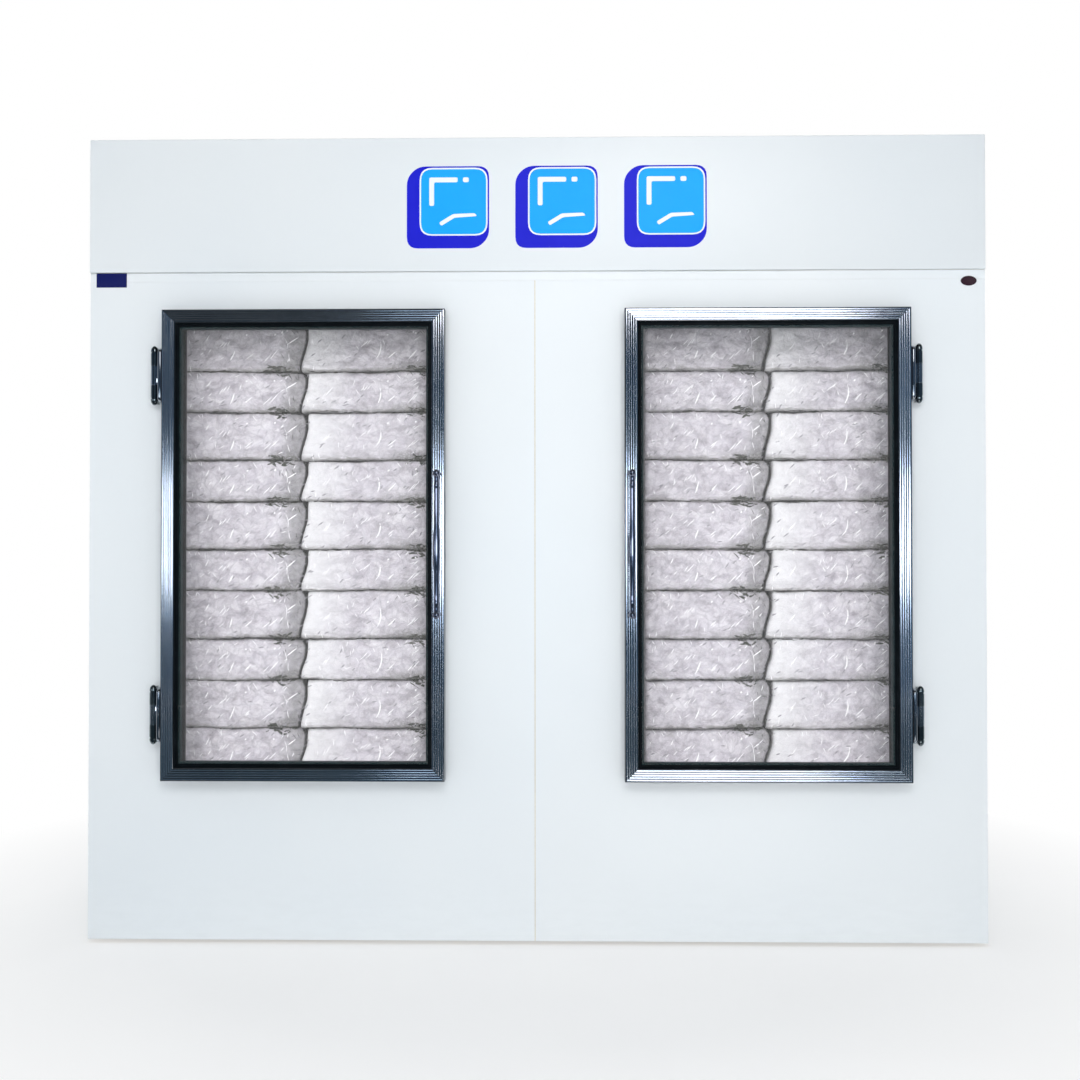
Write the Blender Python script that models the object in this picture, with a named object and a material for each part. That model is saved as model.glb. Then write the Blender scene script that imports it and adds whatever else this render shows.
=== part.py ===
"""Ice merchandiser with two hinged glass doors, a machine compartment behind its header and bagged ice inside.

Metres, +Z up. The front faces -Y and the origin is on the ground, in the middle of the overall box.
A place given as a depth is measured backwards from the painted front sheets.
"""

import math

import bmesh
import bpy
from mathutils import Matrix, Vector

# Cabinet
CABINET_WIDTH = 2.390
CABINET_DEPTH = 0.940
OVERALL_HEIGHT = 2.150
WALL = 0.075
SHEET = 0.0012
TOUCH = 0.0003
FLOOR_CLEARANCE = 0.010
FRONT_SEAM = 0.0015
RUNNER_HEIGHT = 0.112
RUNNER_WIDTH = 0.100
RUNNER_WALL = 0.006
RUNNER_INSET = 0.445

# Header, trim strip and machine compartment
HEADER_HEIGHT = 0.358
HEADER_PROUD = 0.008
TRIM_HEIGHT = 0.024
COMPARTMENT_HEIGHT = 0.315
GRILLE_SLOT_HEIGHT = 0.012
GRILLE_SLOT_PITCH = 0.030
GRILLE_SLOT_ROWS = 7
GRILLE_SLOT_COLUMNS = 3
GRILLE_SLOT_GAP = 0.100
GRILLE_SIDE_MARGIN = 0.045
GRILLE_CONTROL_GAP = 0.330

# Doors
DOOR_DEPTH = 0.040
DOOR_BOTTOM = 0.439
RAIL_ABOVE_DOOR = 0.084
CENTRE_POST_WIDTH = 0.474
SIDE_POST_WIDTH = 0.208
SEAL_GAP = 0.010
DOOR_OVERLAP = 0.030
FRAME_FACE = 0.034
FRAME_LIP = 0.0107
FRAME_RIBS = 5
RIB_DEPTH = 0.0012
RIB_GROOVE = 0.0014
GLASS = 0.004
GLASS_COVER = 0.008
PANE_GAP = 0.016
GASKET_WIDTH = 0.0105
GASKET_RECESS = 0.005
SPACER_WIDTH = 0.014
SPACER_SHOW = 0.0055
SEAL_INSET = 0.006
SEAL_WIDTH = 0.018

# Handles
HANDLE_LENGTH = 0.389
HANDLE_RISE = 0.429
HANDLE_STANDOFF = 0.038
HANDLE_BELLY_RADIUS = 0.0095
HANDLE_NECK_RADIUS = 0.006
HANDLE_BALL_RADIUS = 0.010
HANDLE_POST_RADIUS = 0.0055
HANDLE_BELLY_SHARE = 0.48
HANDLE_SWELL_SHARE = 0.16

# Hinges
HINGE_LENGTH = 0.158
HINGE_END_DISTANCE = 0.1725
HINGE_AXIS_OUT = 0.0245
HINGE_AXIS_FRONT = 0.030
BARREL_RADIUS = 0.0095
PIN_RADIUS = 0.004
DOME_HEIGHT = 0.004
DOME_SHOULDER_SHARE = 0.7
LEAF_PLATE = 0.005
LEAF_WEB = 0.012
STRAP_WIDTH = 0.0129
STRAP_DEPTH = 0.034
STRAP_END_INSET = 0.006
ARM_DEPTH = 0.012

# Bagged ice
BAG_WIDTH_SHARE = 0.92
BAG_DEPTH = 0.420
BAG_HEADROOM = 0.079
BAG_PAIRS = 6
BAG_THICK_SHARE = 0.54
BAG_PINCH = 0.012
BAG_SET_BACK = 0.060
BAG_SHIFT = 0.035
BAG_CORNER = 0.035
BAG_NOTCH = 0.018

# Evaporator under the ceiling of the centre bay
EVAPORATOR_WIDTH = 0.480
EVAPORATOR_DEPTH = 0.360
EVAPORATOR_HEIGHT = 0.220
EVAPORATOR_REAR_GAP = 0.065
EVAPORATOR_COIL_DEPTH = 0.060
EVAPORATOR_COIL_INSET = 0.040
EVAPORATOR_FAN_RADIUS = 0.085
EVAPORATOR_FAN_DROP = 0.105
PAN_HEIGHT = 0.030
PAN_WALL = 0.0015
DRAIN_RADIUS = 0.010
DRAIN_PLACE = 0.150
LIGHT_WIDTH = 0.040
LIGHT_DEPTH = 0.025
LIGHT_END = 0.0175

# Fans
FAN_CLEARANCE = 0.006
FAN_HUB_RADIUS = 0.022
FAN_HUB_LENGTH = 0.028
FAN_BLADES = 5
FAN_BLADE_WALL = 0.002
FAN_BLADE_PITCH = 28
BLADE_CHORD_SHARE = 0.5
BLADE_ROOT_SHARE = 0.8
BORE_START_SHARE = 0.25
SHAFT_RADIUS = 0.004
SHAFT_LENGTH = 0.030

# Condensing unit in the machine compartment
TRAY_WIDTH = 0.900
TRAY_DEPTH = 0.500
TRAY_RIM = 0.018
TRAY_REAR_GAP = 0.015
COIL_WIDTH = 0.340
COIL_HEIGHT = 0.270
COIL_DEPTH = 0.066
COIL_REAR_GAP = 0.030
COIL_MIDDLE = -0.250
COIL_PLATE = 0.003
COIL_PLATE_LIP = 0.004
SHROUD_DEPTH = 0.050
CONDENSER_FAN_RADIUS = 0.122
MOTOR_RADIUS = 0.038
MOTOR_LENGTH = 0.070
BRACKET_WIDTH = 0.030
BRACKET_WALL = 0.004
BRACKET_FOOT = 0.050
COMPRESSOR_RADIUS = 0.085
COMPRESSOR_HEIGHT = 0.210
COMPRESSOR_FOOT = 0.190
COMPRESSOR_FOOT_WALL = 0.006
COMPRESSOR_PLACE = 0.200
COMPRESSOR_REAR_GAP = 0.230
DOME_RISE_SHARE = 0.6
LINE_RADIUS = 0.006
SUCTION_RADIUS = 0.008
LINE_BEND = 0.022
DRIER_RADIUS = 0.020
DRIER_LENGTH = 0.110
DRIER_RAISE = 0.020
DRIER_NECK_SHARE = 0.9
PORT_SPACING = 0.080
PORT_REAR_GAP = 0.110
PORT_CLEARANCE = 0.001

# Controls behind a window in the rear grille
CONTROL_BOX_WIDTH = 0.240
CONTROL_BOX_HEIGHT = 0.130
CONTROL_BOX_DEPTH = 0.110
CONTROL_TRAY_GAP = 0.190
CONTROL_RECESS = 0.026
CONTROL_WINDOW_LIP = 0.012
CONTROL_FACE_WALL = 0.016
CONTROL_SPACING = 0.070
SWITCH_WIDTH = 0.022
SWITCH_HEIGHT = 0.014
SWITCH_DEPTH = 0.010
SWITCH_POCKET_DEPTH = 0.012
SWITCH_SWING_ROOM = 0.002
SWITCH_AXIS_DEPTH = 0.003
SWITCH_PROUD = 0.002
KNOB_RADIUS = 0.017
KNOB_DEPTH = 0.016
KNOB_POINTER = 0.002
KNOB_TAPER_SHARE = 0.85
GLAND_RADIUS = 0.011
GLAND_DEPTH = 0.020
GLAND_BORE = 0.004

# Facets of round pieces
FINE_SIDES = 24
COARSE_SIDES = 16
ARC_STEPS = 5
OVERRUN = 0.010

# Places that follow from the sizes above
HALF_WIDTH = CABINET_WIDTH / 2
FRONT_REACH = SEAL_GAP + DOOR_DEPTH + HANDLE_STANDOFF + max(HANDLE_BELLY_RADIUS, HANDLE_BALL_RADIUS)
FACE = (FRONT_REACH - CABINET_DEPTH) / 2
REAR = FACE + CABINET_DEPTH
FLOOR_TOP = RUNNER_HEIGHT + WALL
CEILING_TOP = OVERALL_HEIGHT - COMPARTMENT_HEIGHT
CEILING = CEILING_TOP - WALL
HEADER_BOTTOM = OVERALL_HEIGHT - HEADER_HEIGHT
TRIM_BOTTOM = HEADER_BOTTOM - TRIM_HEIGHT
INSIDE_HALF = HALF_WIDTH - WALL
INSIDE_FRONT = FACE + WALL
INSIDE_REAR = REAR - WALL
CORE_HALF = INSIDE_HALF + SHEET + TOUCH
CORE_FRONT = INSIDE_FRONT - SHEET - TOUCH
CORE_REAR = INSIDE_REAR + SHEET + TOUCH
SKIN_HALF = HALF_WIDTH - SHEET - TOUCH
RUNNER_SPACING = CABINET_WIDTH - 2 * RUNNER_INSET
DOOR_WIDTH = HALF_WIDTH - SIDE_POST_WIDTH - CENTRE_POST_WIDTH / 2
DOOR_HEIGHT = TRIM_BOTTOM - RAIL_ABOVE_DOOR - DOOR_BOTTOM
DOOR_MIDDLE_X = CENTRE_POST_WIDTH / 2 + DOOR_WIDTH / 2
DOOR_MIDDLE_Z = DOOR_BOTTOM + DOOR_HEIGHT / 2
DOOR_BACK = FACE - SEAL_GAP
DOOR_FRONT = DOOR_BACK - DOOR_DEPTH
OPENING_WIDTH = DOOR_WIDTH - 2 * DOOR_OVERLAP
OPENING_HEIGHT = DOOR_HEIGHT - 2 * DOOR_OVERLAP
OUTER_PANE_FRONT = DOOR_FRONT + FRAME_LIP + TOUCH
SPACER_FRONT = OUTER_PANE_FRONT + GLASS + TOUCH
INNER_PANE_FRONT = SPACER_FRONT + PANE_GAP + TOUCH
PACK_BACK = INNER_PANE_FRONT + GLASS
HINGE_X = CENTRE_POST_WIDTH / 2 + DOOR_WIDTH + HINGE_AXIS_OUT
HINGE_Y = FACE - HINGE_AXIS_FRONT
HANDLE_X = CENTRE_POST_WIDTH / 2 + FRAME_FACE / 2
HANDLE_Y = DOOR_FRONT - HANDLE_STANDOFF
HANDLE_BOTTOM = DOOR_BOTTOM + HANDLE_RISE
HINGE_SPACING = DOOR_HEIGHT - 2 * HINGE_END_DISTANCE
BAG_COLUMN_WIDTH = DOOR_WIDTH * BAG_WIDTH_SHARE / 2
BAG_PAIR_MIDDLE = DOOR_MIDDLE_X + BAG_SHIFT
BAG_PAIR_HEIGHT = (CEILING - FLOOR_TOP - BAG_HEADROOM) / BAG_PAIRS
LIGHT_LENGTH = OPENING_HEIGHT - 2 * LIGHT_END
COMPARTMENT_TOP = OVERALL_HEIGHT - SHEET
EVAPORATOR_REAR = CABINET_DEPTH - WALL - EVAPORATOR_REAR_GAP
EVAPORATOR_FRONT = EVAPORATOR_REAR - EVAPORATOR_DEPTH
PORT_Y = REAR - PORT_REAR_GAP
CONTROL_FACE = REAR - CONTROL_RECESS
CONTROL_MIDDLE = TRAY_WIDTH / 2 + CONTROL_TRAY_GAP + CONTROL_BOX_WIDTH / 2
GRILLE_START = GRILLE_SIDE_MARGIN - HALF_WIDTH
GRILLE_END = TRAY_WIDTH / 2 + CONTROL_TRAY_GAP - GRILLE_CONTROL_GAP
GRILLE_SLOT_SPACING = (GRILLE_END - GRILLE_START + GRILLE_SLOT_GAP) / GRILLE_SLOT_COLUMNS
GRILLE_SLOT_LENGTH = GRILLE_SLOT_SPACING - GRILLE_SLOT_GAP


def clear_scene():
    """Start from an empty scene."""
    for old in list(bpy.data.objects):
        bpy.data.objects.remove(old, do_unlink=True)


def material(name, colour, roughness, metallic=0.0):
    """A plain surface of one colour."""
    made = bpy.data.materials.get(name)
    if made is None:
        made = bpy.data.materials.new(name)
        made.use_nodes = True
        surface = made.node_tree.nodes["Principled BSDF"]
        surface.inputs["Base Color"].default_value = (*colour, 1.0)
        surface.inputs["Roughness"].default_value = roughness
        surface.inputs["Metallic"].default_value = metallic
    return made


def white_paint():
    return material("white_paint", (0.80, 0.84, 0.88), 0.35)


def insulation():
    return material("insulation", (0.82, 0.74, 0.52), 0.85)


def liner_sheet():
    return material("liner_sheet", (0.78, 0.80, 0.81), 0.40, 0.3)


def galvanised():
    return material("galvanised", (0.55, 0.57, 0.58), 0.45, 0.9)


def anodised():
    return material("anodised", (0.62, 0.67, 0.74), 0.28, 1.0)


def chrome():
    return material("chrome", (0.80, 0.82, 0.84), 0.08, 1.0)


def glass():
    return material("glass", (0.75, 0.84, 0.86), 0.03)


def black_rubber():
    return material("black_rubber", (0.02, 0.025, 0.03), 0.6)


def dark_spacer():
    return material("dark_spacer", (0.10, 0.13, 0.14), 0.5)


def black_plastic():
    return material("black_plastic", (0.03, 0.03, 0.035), 0.45)


def black_enamel():
    return material("black_enamel", (0.03, 0.03, 0.03), 0.35, 0.2)


def aluminium():
    return material("aluminium", (0.70, 0.72, 0.73), 0.40, 1.0)


def copper():
    return material("copper", (0.72, 0.38, 0.24), 0.30, 1.0)


def white_plastic():
    return material("white_plastic", (0.85, 0.86, 0.86), 0.40)


def lamp_cover():
    return material("lamp_cover", (0.92, 0.95, 0.98), 0.30)


def ice_bag():
    return material("ice_bag", (0.82, 0.82, 0.85), 0.25)


def add(name, shape, surface, parent=None, smooth=False):
    """Turn a bmesh built in world places into a named object, hung on its parent if it has one."""
    bmesh.ops.recalc_face_normals(shape, faces=shape.faces)
    mesh = bpy.data.meshes.new(name)
    shape.to_mesh(mesh)
    shape.free()
    if smooth:
        mesh.shade_smooth()
        mesh.set_sharp_from_angle(angle=math.radians(40))
    mesh.materials.append(surface)
    made = bpy.data.objects.new(name, mesh)
    bpy.context.scene.collection.objects.link(made)
    if parent is not None:
        made.parent = parent
        made.matrix_parent_inverse = Matrix.Translation(parent.location).inverted()
    return made


def pivot(name, place):
    """An empty on a joint's axis, which carries the pieces that turn there."""
    made = bpy.data.objects.new(name, None)
    made.location = place
    bpy.context.scene.collection.objects.link(made)
    return made


def box(x, y, z):
    """A block between two places along each axis."""
    shape = bmesh.new()
    low = Vector((min(x), min(y), min(z)))
    high = Vector((max(x), max(y), max(z)))
    place = Matrix.LocRotScale((low + high) / 2, None, high - low)
    bmesh.ops.create_cube(shape, size=1.0, matrix=place)
    return shape


def turned(profile, centre, axis, sides):
    """A solid turned round an axis from (radius, distance along) points; a radius of zero is a tip."""
    shape = bmesh.new()
    turn = Vector((0, 0, 1)).rotation_difference(Vector(axis)).to_matrix()
    rings = []
    for radius, along in profile:
        count = 1 if radius == 0 else sides
        ring = []
        for step in range(count):
            angle = math.tau * step / sides
            local = Vector((radius * math.cos(angle), radius * math.sin(angle), along))
            ring.append(shape.verts.new(Vector(centre) + turn @ local))
        rings.append(ring)
    for lower, upper in zip(rings, rings[1:]):
        join_rings(shape, lower, upper)
    for end in (rings[0], rings[-1]):
        if len(end) > 1 and rings[0] is not rings[-1]:
            shape.faces.new(end)
    return shape


def join_rings(shape, lower, upper):
    """Faces between two rings of points, either of which may be a single tip."""
    sides = max(len(lower), len(upper))
    for step in range(sides):
        after = (step + 1) % sides
        corners = []
        for ring, index in ((lower, step), (lower, after), (upper, after), (upper, step)):
            vert = ring[index % len(ring)]
            if vert not in corners:
                corners.append(vert)
        shape.faces.new(corners)


def drum(centre, axis, radius, length, sides):
    """A plain cylinder that starts at its centre point and runs along the axis."""
    return turned([(radius, 0), (radius, length)], centre, axis, sides)


def frame_ring(middle, width, height, section):
    """A mitred upright frame from a closed section of (inset from the outer edge, y) points."""
    shape = bmesh.new()
    loops = []
    for inset, y in section:
        half_x = width / 2 - inset
        half_z = height / 2 - inset
        corners = ((-half_x, -half_z), (half_x, -half_z), (half_x, half_z), (-half_x, half_z))
        loops.append([shape.verts.new((middle[0] + x, y, middle[1] + z)) for x, z in corners])
    for loop, following in zip(loops, loops[1:] + loops[:1]):
        join_rings(shape, loop, following)
    return shape


def rectangle_section(inset, width, y_front, y_back):
    """The section of a flat ring for frame_ring."""
    return [(inset, y_front), (inset + width, y_front), (inset + width, y_back), (inset, y_back)]


def extruded(outline, y_front, y_back):
    """A prism of an (x, z) outline between two depths."""
    shape = bmesh.new()
    front = [shape.verts.new((x, y_front, z)) for x, z in outline]
    back = [shape.verts.new((x, y_back, z)) for x, z in outline]
    join_rings(shape, front, back)
    shape.faces.new(front)
    shape.faces.new(back)
    return shape


def rounded_path(corners, bend):
    """Points along straight runs with an arc of the bend radius at each turn."""
    points = [Vector(corners[0])]
    for before, here, after in zip(corners, corners[1:], corners[2:]):
        here = Vector(here)
        back = (Vector(before) - here).normalized()
        ahead = (Vector(after) - here).normalized()
        for step in range(ARC_STEPS + 1):
            share = step / ARC_STEPS
            start = here + back * bend * (1 - share)
            finish = here + ahead * bend * share
            points.append(start.lerp(finish, share))
    points.append(Vector(corners[-1]))
    return points


def combine(base, shapes, operation):
    """Join shapes to an object, or cut them out of it, and keep the result as its mesh."""
    for shape in shapes:
        tool = add("tool", shape, base.data.materials[0])
        modifier = base.modifiers.new(operation.lower(), "BOOLEAN")
        modifier.operation = operation
        modifier.solver = "EXACT"
        modifier.object = tool
        bpy.context.view_layer.update()
        evaluated = base.evaluated_get(bpy.context.evaluated_depsgraph_get())
        result = bpy.data.meshes.new_from_object(evaluated)
        result.name = base.name
        base.modifiers.clear()
        base.data = result
        bpy.data.objects.remove(tool, do_unlink=True)
    return base


def unite(base, *shapes):
    return combine(base, shapes, "UNION")


def cut(base, *shapes):
    return combine(base, shapes, "DIFFERENCE")


def bore_radius(radius, sides):
    """The corner radius of a faceted hole that clears a round piece all round."""
    return (radius + TOUCH) / math.cos(math.pi / sides)


def door_opening(side, grow, y_front, y_back):
    """A block as large as a door's opening in the cabinet, grown on all sides."""
    half_x = OPENING_WIDTH / 2 + grow
    half_z = OPENING_HEIGHT / 2 + grow
    middle = side * DOOR_MIDDLE_X
    return box(
        (middle - half_x, middle + half_x),
        (y_front, y_back),
        (DOOR_MIDDLE_Z - half_z, DOOR_MIDDLE_Z + half_z),
    )


def port_drums(z_low, z_high):
    """Cutters for the two holes that the refrigerant lines go through."""
    drums = []
    for side, radius in ((-1, LINE_RADIUS), (1, SUCTION_RADIUS)):
        centre = (side * PORT_SPACING / 2, PORT_Y, z_low)
        drums.append(drum(centre, (0, 0, 1), radius + PORT_CLEARANCE, z_high - z_low, COARSE_SIDES))
    return drums


def drain_port():
    """A cutter for the hole that the drain tube goes through in the rear wall."""
    return drum(
        (DRAIN_PLACE, INSIDE_REAR - OVERRUN, drain_height()),
        (0, 1, 0),
        DRAIN_RADIUS + PORT_CLEARANCE,
        WALL + 2 * OVERRUN,
        COARSE_SIDES,
    )


def drain_height():
    return CEILING - TOUCH - EVAPORATOR_HEIGHT - TOUCH - PAN_HEIGHT / 2


def wall_panels():
    """The six foam slabs of the insulated cabinet."""
    foam = insulation()
    upright = (FLOOR_CLEARANCE, CEILING_TOP)
    between = (CORE_FRONT + TOUCH, CORE_REAR - TOUCH)
    front = add(
        "front_wall_panel",
        box((-SKIN_HALF, SKIN_HALF), (FACE + SHEET + TOUCH, CORE_FRONT), upright),
        foam,
    )
    grow = SHEET + TOUCH
    cut(front, *(door_opening(side, grow, FACE - OVERRUN, CORE_FRONT + OVERRUN) for side in (-1, 1)))
    add("left_wall_panel", box((-SKIN_HALF, -CORE_HALF), between, upright), foam)
    add("right_wall_panel", box((CORE_HALF, SKIN_HALF), between, upright), foam)
    rear = add(
        "rear_wall_panel",
        box((-SKIN_HALF, SKIN_HALF), (CORE_REAR, REAR - SHEET - TOUCH), upright),
        foam,
    )
    cut(rear, drain_port())
    across = (-CORE_HALF + TOUCH, CORE_HALF - TOUCH)
    add(
        "floor_panel",
        box(across, between, (RUNNER_HEIGHT + TOUCH, FLOOR_TOP - SHEET - TOUCH)),
        foam,
    )
    ceiling = add(
        "ceiling_panel",
        box(across, between, (CEILING + SHEET + TOUCH, CEILING_TOP)),
        galvanised(),
    )
    cut(ceiling, *port_drums(CEILING - OVERRUN, CEILING_TOP + OVERRUN))


def inner_liner():
    """The white inside sheet: a thin box with a collar out to the front round each door opening."""
    liner = add(
        "inner_liner",
        box(
            (-INSIDE_HALF - SHEET, INSIDE_HALF + SHEET),
            (INSIDE_FRONT - SHEET, INSIDE_REAR + SHEET),
            (FLOOR_TOP - SHEET, CEILING + SHEET),
        ),
        liner_sheet(),
    )
    collar_front = FACE + SHEET + TOUCH
    inside = INSIDE_FRONT + OVERRUN
    unite(liner, *(door_opening(side, SHEET, collar_front, inside) for side in (-1, 1)))
    hollow = box((-INSIDE_HALF, INSIDE_HALF), (INSIDE_FRONT, INSIDE_REAR), (FLOOR_TOP, CEILING))
    cut(liner, hollow, *(door_opening(side, 0, FACE - OVERRUN, inside) for side in (-1, 1)))
    cut(liner, *port_drums(CEILING - OVERRUN, CEILING + OVERRUN), drain_port())


def front_skins():
    """Two painted sheets that meet at the middle seam, each with its door opening, and the strip above them."""
    sheet = (FACE, FACE + SHEET)
    for side, name in ((-1, "front_skin_left"), (1, "front_skin_right")):
        across = (side * FRONT_SEAM / 2, side * HALF_WIDTH)
        skin = add(name, box(across, sheet, (FLOOR_CLEARANCE, TRIM_BOTTOM - TOUCH)), white_paint())
        cut(skin, door_opening(side, 0, FACE - OVERRUN, FACE + OVERRUN))
    add(
        "front_top_trim",
        box((-HALF_WIDTH, HALF_WIDTH), sheet, (TRIM_BOTTOM, HEADER_BOTTOM - TOUCH)),
        white_paint(),
    )


def outer_wrap():
    """One sheet folded round both sides and the rear."""
    front = FACE + SHEET + TOUCH
    wrap = add(
        "outer_wrap",
        box((-HALF_WIDTH, HALF_WIDTH), (front, REAR), (FLOOR_CLEARANCE, CEILING_TOP)),
        white_paint(),
    )
    inner = HALF_WIDTH - SHEET
    past = (FLOOR_CLEARANCE - OVERRUN, CEILING_TOP + OVERRUN)
    cut(wrap, box((-inner, inner), (front - OVERRUN, REAR - SHEET), past), drain_port())


def header_panel():
    """The folded sign panel, a shallow pan that stands a little proud of the front."""
    front = FACE - HEADER_PROUD
    back = FACE - TOUCH
    header = add(
        "header_panel",
        box((-HALF_WIDTH, HALF_WIDTH), (front, back), (HEADER_BOTTOM, OVERALL_HEIGHT)),
        white_paint(),
    )
    inner = HALF_WIDTH - SHEET
    upright = (HEADER_BOTTOM + SHEET, OVERALL_HEIGHT - SHEET)
    cut(header, box((-inner, inner), (front + SHEET, back + OVERRUN), upright))


def compartment_sheets():
    """The lid and the two side sheets of the machine compartment."""
    lid = box((-HALF_WIDTH, HALF_WIDTH), (FACE, REAR), (COMPARTMENT_TOP, OVERALL_HEIGHT))
    add("compartment_lid", lid, white_paint())
    for side, name in ((-1, "compartment_side_left"), (1, "compartment_side_right")):
        across = (side * (HALF_WIDTH - SHEET), side * HALF_WIDTH)
        sheet = box(across, (FACE, REAR), (CEILING_TOP + TOUCH, COMPARTMENT_TOP - TOUCH))
        add(name, sheet, white_paint())


def control_middle_z():
    return CEILING_TOP + TOUCH + CONTROL_BOX_HEIGHT / 2


def rear_grille():
    """The louvred rear sheet, with a window for the controls."""
    inner = HALF_WIDTH - SHEET - TOUCH
    grille = add(
        "rear_grille",
        box((-inner, inner), (REAR - SHEET, REAR), (CEILING_TOP + TOUCH, COMPARTMENT_TOP - TOUCH)),
        white_paint(),
    )
    past = (REAR - OVERRUN, REAR + OVERRUN)
    middle_z = (CEILING_TOP + COMPARTMENT_TOP) / 2
    for column in range(GRILLE_SLOT_COLUMNS):
        start = GRILLE_START + column * GRILLE_SLOT_SPACING
        across = (start, start + GRILLE_SLOT_LENGTH)
        for row in range(GRILLE_SLOT_ROWS):
            z = middle_z + (row - (GRILLE_SLOT_ROWS - 1) / 2) * GRILLE_SLOT_PITCH
            cut(grille, box(across, past, (z - GRILLE_SLOT_HEIGHT / 2, z + GRILLE_SLOT_HEIGHT / 2)))
    half_x = CONTROL_BOX_WIDTH / 2 - CONTROL_WINDOW_LIP
    half_z = CONTROL_BOX_HEIGHT / 2 - CONTROL_WINDOW_LIP
    middle = control_middle_z()
    window = box(
        (CONTROL_MIDDLE - half_x, CONTROL_MIDDLE + half_x),
        past,
        (middle - half_z, middle + half_z),
    )
    cut(grille, window)


def base_runners():
    """Two steel channels under the floor panel, open towards the middle."""
    for side, name in ((-1, "base_runner_left"), (1, "base_runner_right")):
        outer = side * (RUNNER_SPACING + RUNNER_WIDTH) / 2
        inner = side * (RUNNER_SPACING - RUNNER_WIDTH) / 2
        web = outer - side * RUNNER_WALL
        outline = (
            (outer, 0),
            (inner, 0),
            (inner, RUNNER_WALL),
            (web, RUNNER_WALL),
            (web, RUNNER_HEIGHT - RUNNER_WALL),
            (inner, RUNNER_HEIGHT - RUNNER_WALL),
            (inner, RUNNER_HEIGHT),
            (outer, RUNNER_HEIGHT),
        )
        add(name, extruded(outline, CORE_FRONT + TOUCH, CORE_REAR - TOUCH), galvanised())


def interior_light():
    """A light bar on the inside of the centre post."""
    front = INSIDE_FRONT + TOUCH
    half = LIGHT_LENGTH / 2
    add(
        "interior_light",
        box(
            (-LIGHT_WIDTH / 2, LIGHT_WIDTH / 2),
            (front, front + LIGHT_DEPTH),
            (DOOR_MIDDLE_Z - half, DOOR_MIDDLE_Z + half),
        ),
        lamp_cover(),
    )


def bag_section(side, pinch):
    """The outline of two bags side by side, seen from above, drawn in by the pinch."""
    near = BAG_PAIR_MIDDLE - BAG_COLUMN_WIDTH + pinch
    far = BAG_PAIR_MIDDLE + BAG_COLUMN_WIDTH - pinch
    front = INSIDE_FRONT + BAG_SET_BACK + pinch
    back = INSIDE_FRONT + BAG_SET_BACK + BAG_DEPTH - pinch
    half = [
        (near, front + BAG_CORNER),
        (near + BAG_CORNER, front),
        (BAG_PAIR_MIDDLE - BAG_NOTCH, front),
        (BAG_PAIR_MIDDLE, front + BAG_NOTCH),
        (BAG_PAIR_MIDDLE + BAG_NOTCH, front),
        (far - BAG_CORNER, front),
        (far, front + BAG_CORNER),
    ]
    other = [(x, front + back - y) for x, y in reversed(half)]
    return [(side * x, y) for x, y in half + other]


def bag_stack(side, name):
    """Two columns of bags, fused where they touch and drawn in at each seam between rows."""
    shape = bmesh.new()
    levels = []
    z = FLOOR_TOP + TOUCH
    for row in range(2 * BAG_PAIRS):
        share = BAG_THICK_SHARE if row % 2 else 1 - BAG_THICK_SHARE
        height = BAG_PAIR_HEIGHT * share
        levels += [(z, BAG_PINCH), (z + height / 4, 0), (z + height * 3 / 4, 0)]
        z += height
    levels.append((z, BAG_PINCH))
    loops = []
    for z, pinch in levels:
        loops.append([shape.verts.new((x, y, z)) for x, y in bag_section(side, pinch)])
    for lower, upper in zip(loops, loops[1:]):
        join_rings(shape, lower, upper)
    shape.faces.new(loops[0])
    shape.faces.new(loops[-1])
    add(name, shape, ice_bag())


def frame_section():
    """The door rail's section: a ribbed face, a pocket for the glass and a back."""
    points = [(0, DOOR_FRONT)]
    pitch = FRAME_FACE / FRAME_RIBS
    for rib in range(1, FRAME_RIBS):
        groove = rib * pitch
        points.append((groove - RIB_GROOVE / 2, DOOR_FRONT))
        points.append((groove, DOOR_FRONT + RIB_DEPTH))
        points.append((groove + RIB_GROOVE / 2, DOOR_FRONT))
    pocket = FRAME_FACE - GLASS_COVER - TOUCH
    points += [
        (FRAME_FACE, DOOR_FRONT),
        (FRAME_FACE, DOOR_FRONT + FRAME_LIP),
        (pocket, DOOR_FRONT + FRAME_LIP),
        (pocket, PACK_BACK + TOUCH),
        (FRAME_FACE, PACK_BACK + TOUCH),
        (FRAME_FACE, DOOR_BACK),
        (0, DOOR_BACK),
    ]
    return points


def door_ring(name, side, section, surface, parent):
    middle = (side * DOOR_MIDDLE_X, DOOR_MIDDLE_Z)
    return add(name, frame_ring(middle, DOOR_WIDTH, DOOR_HEIGHT, section), surface, parent)


def door_pane(name, side, front, parent):
    half_x = DOOR_WIDTH / 2 - FRAME_FACE + GLASS_COVER
    half_z = DOOR_HEIGHT / 2 - FRAME_FACE + GLASS_COVER
    middle = side * DOOR_MIDDLE_X
    across = (middle - half_x, middle + half_x)
    upright = (DOOR_MIDDLE_Z - half_z, DOOR_MIDDLE_Z + half_z)
    add(name, box(across, (front, front + GLASS), upright), glass(), parent)


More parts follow.
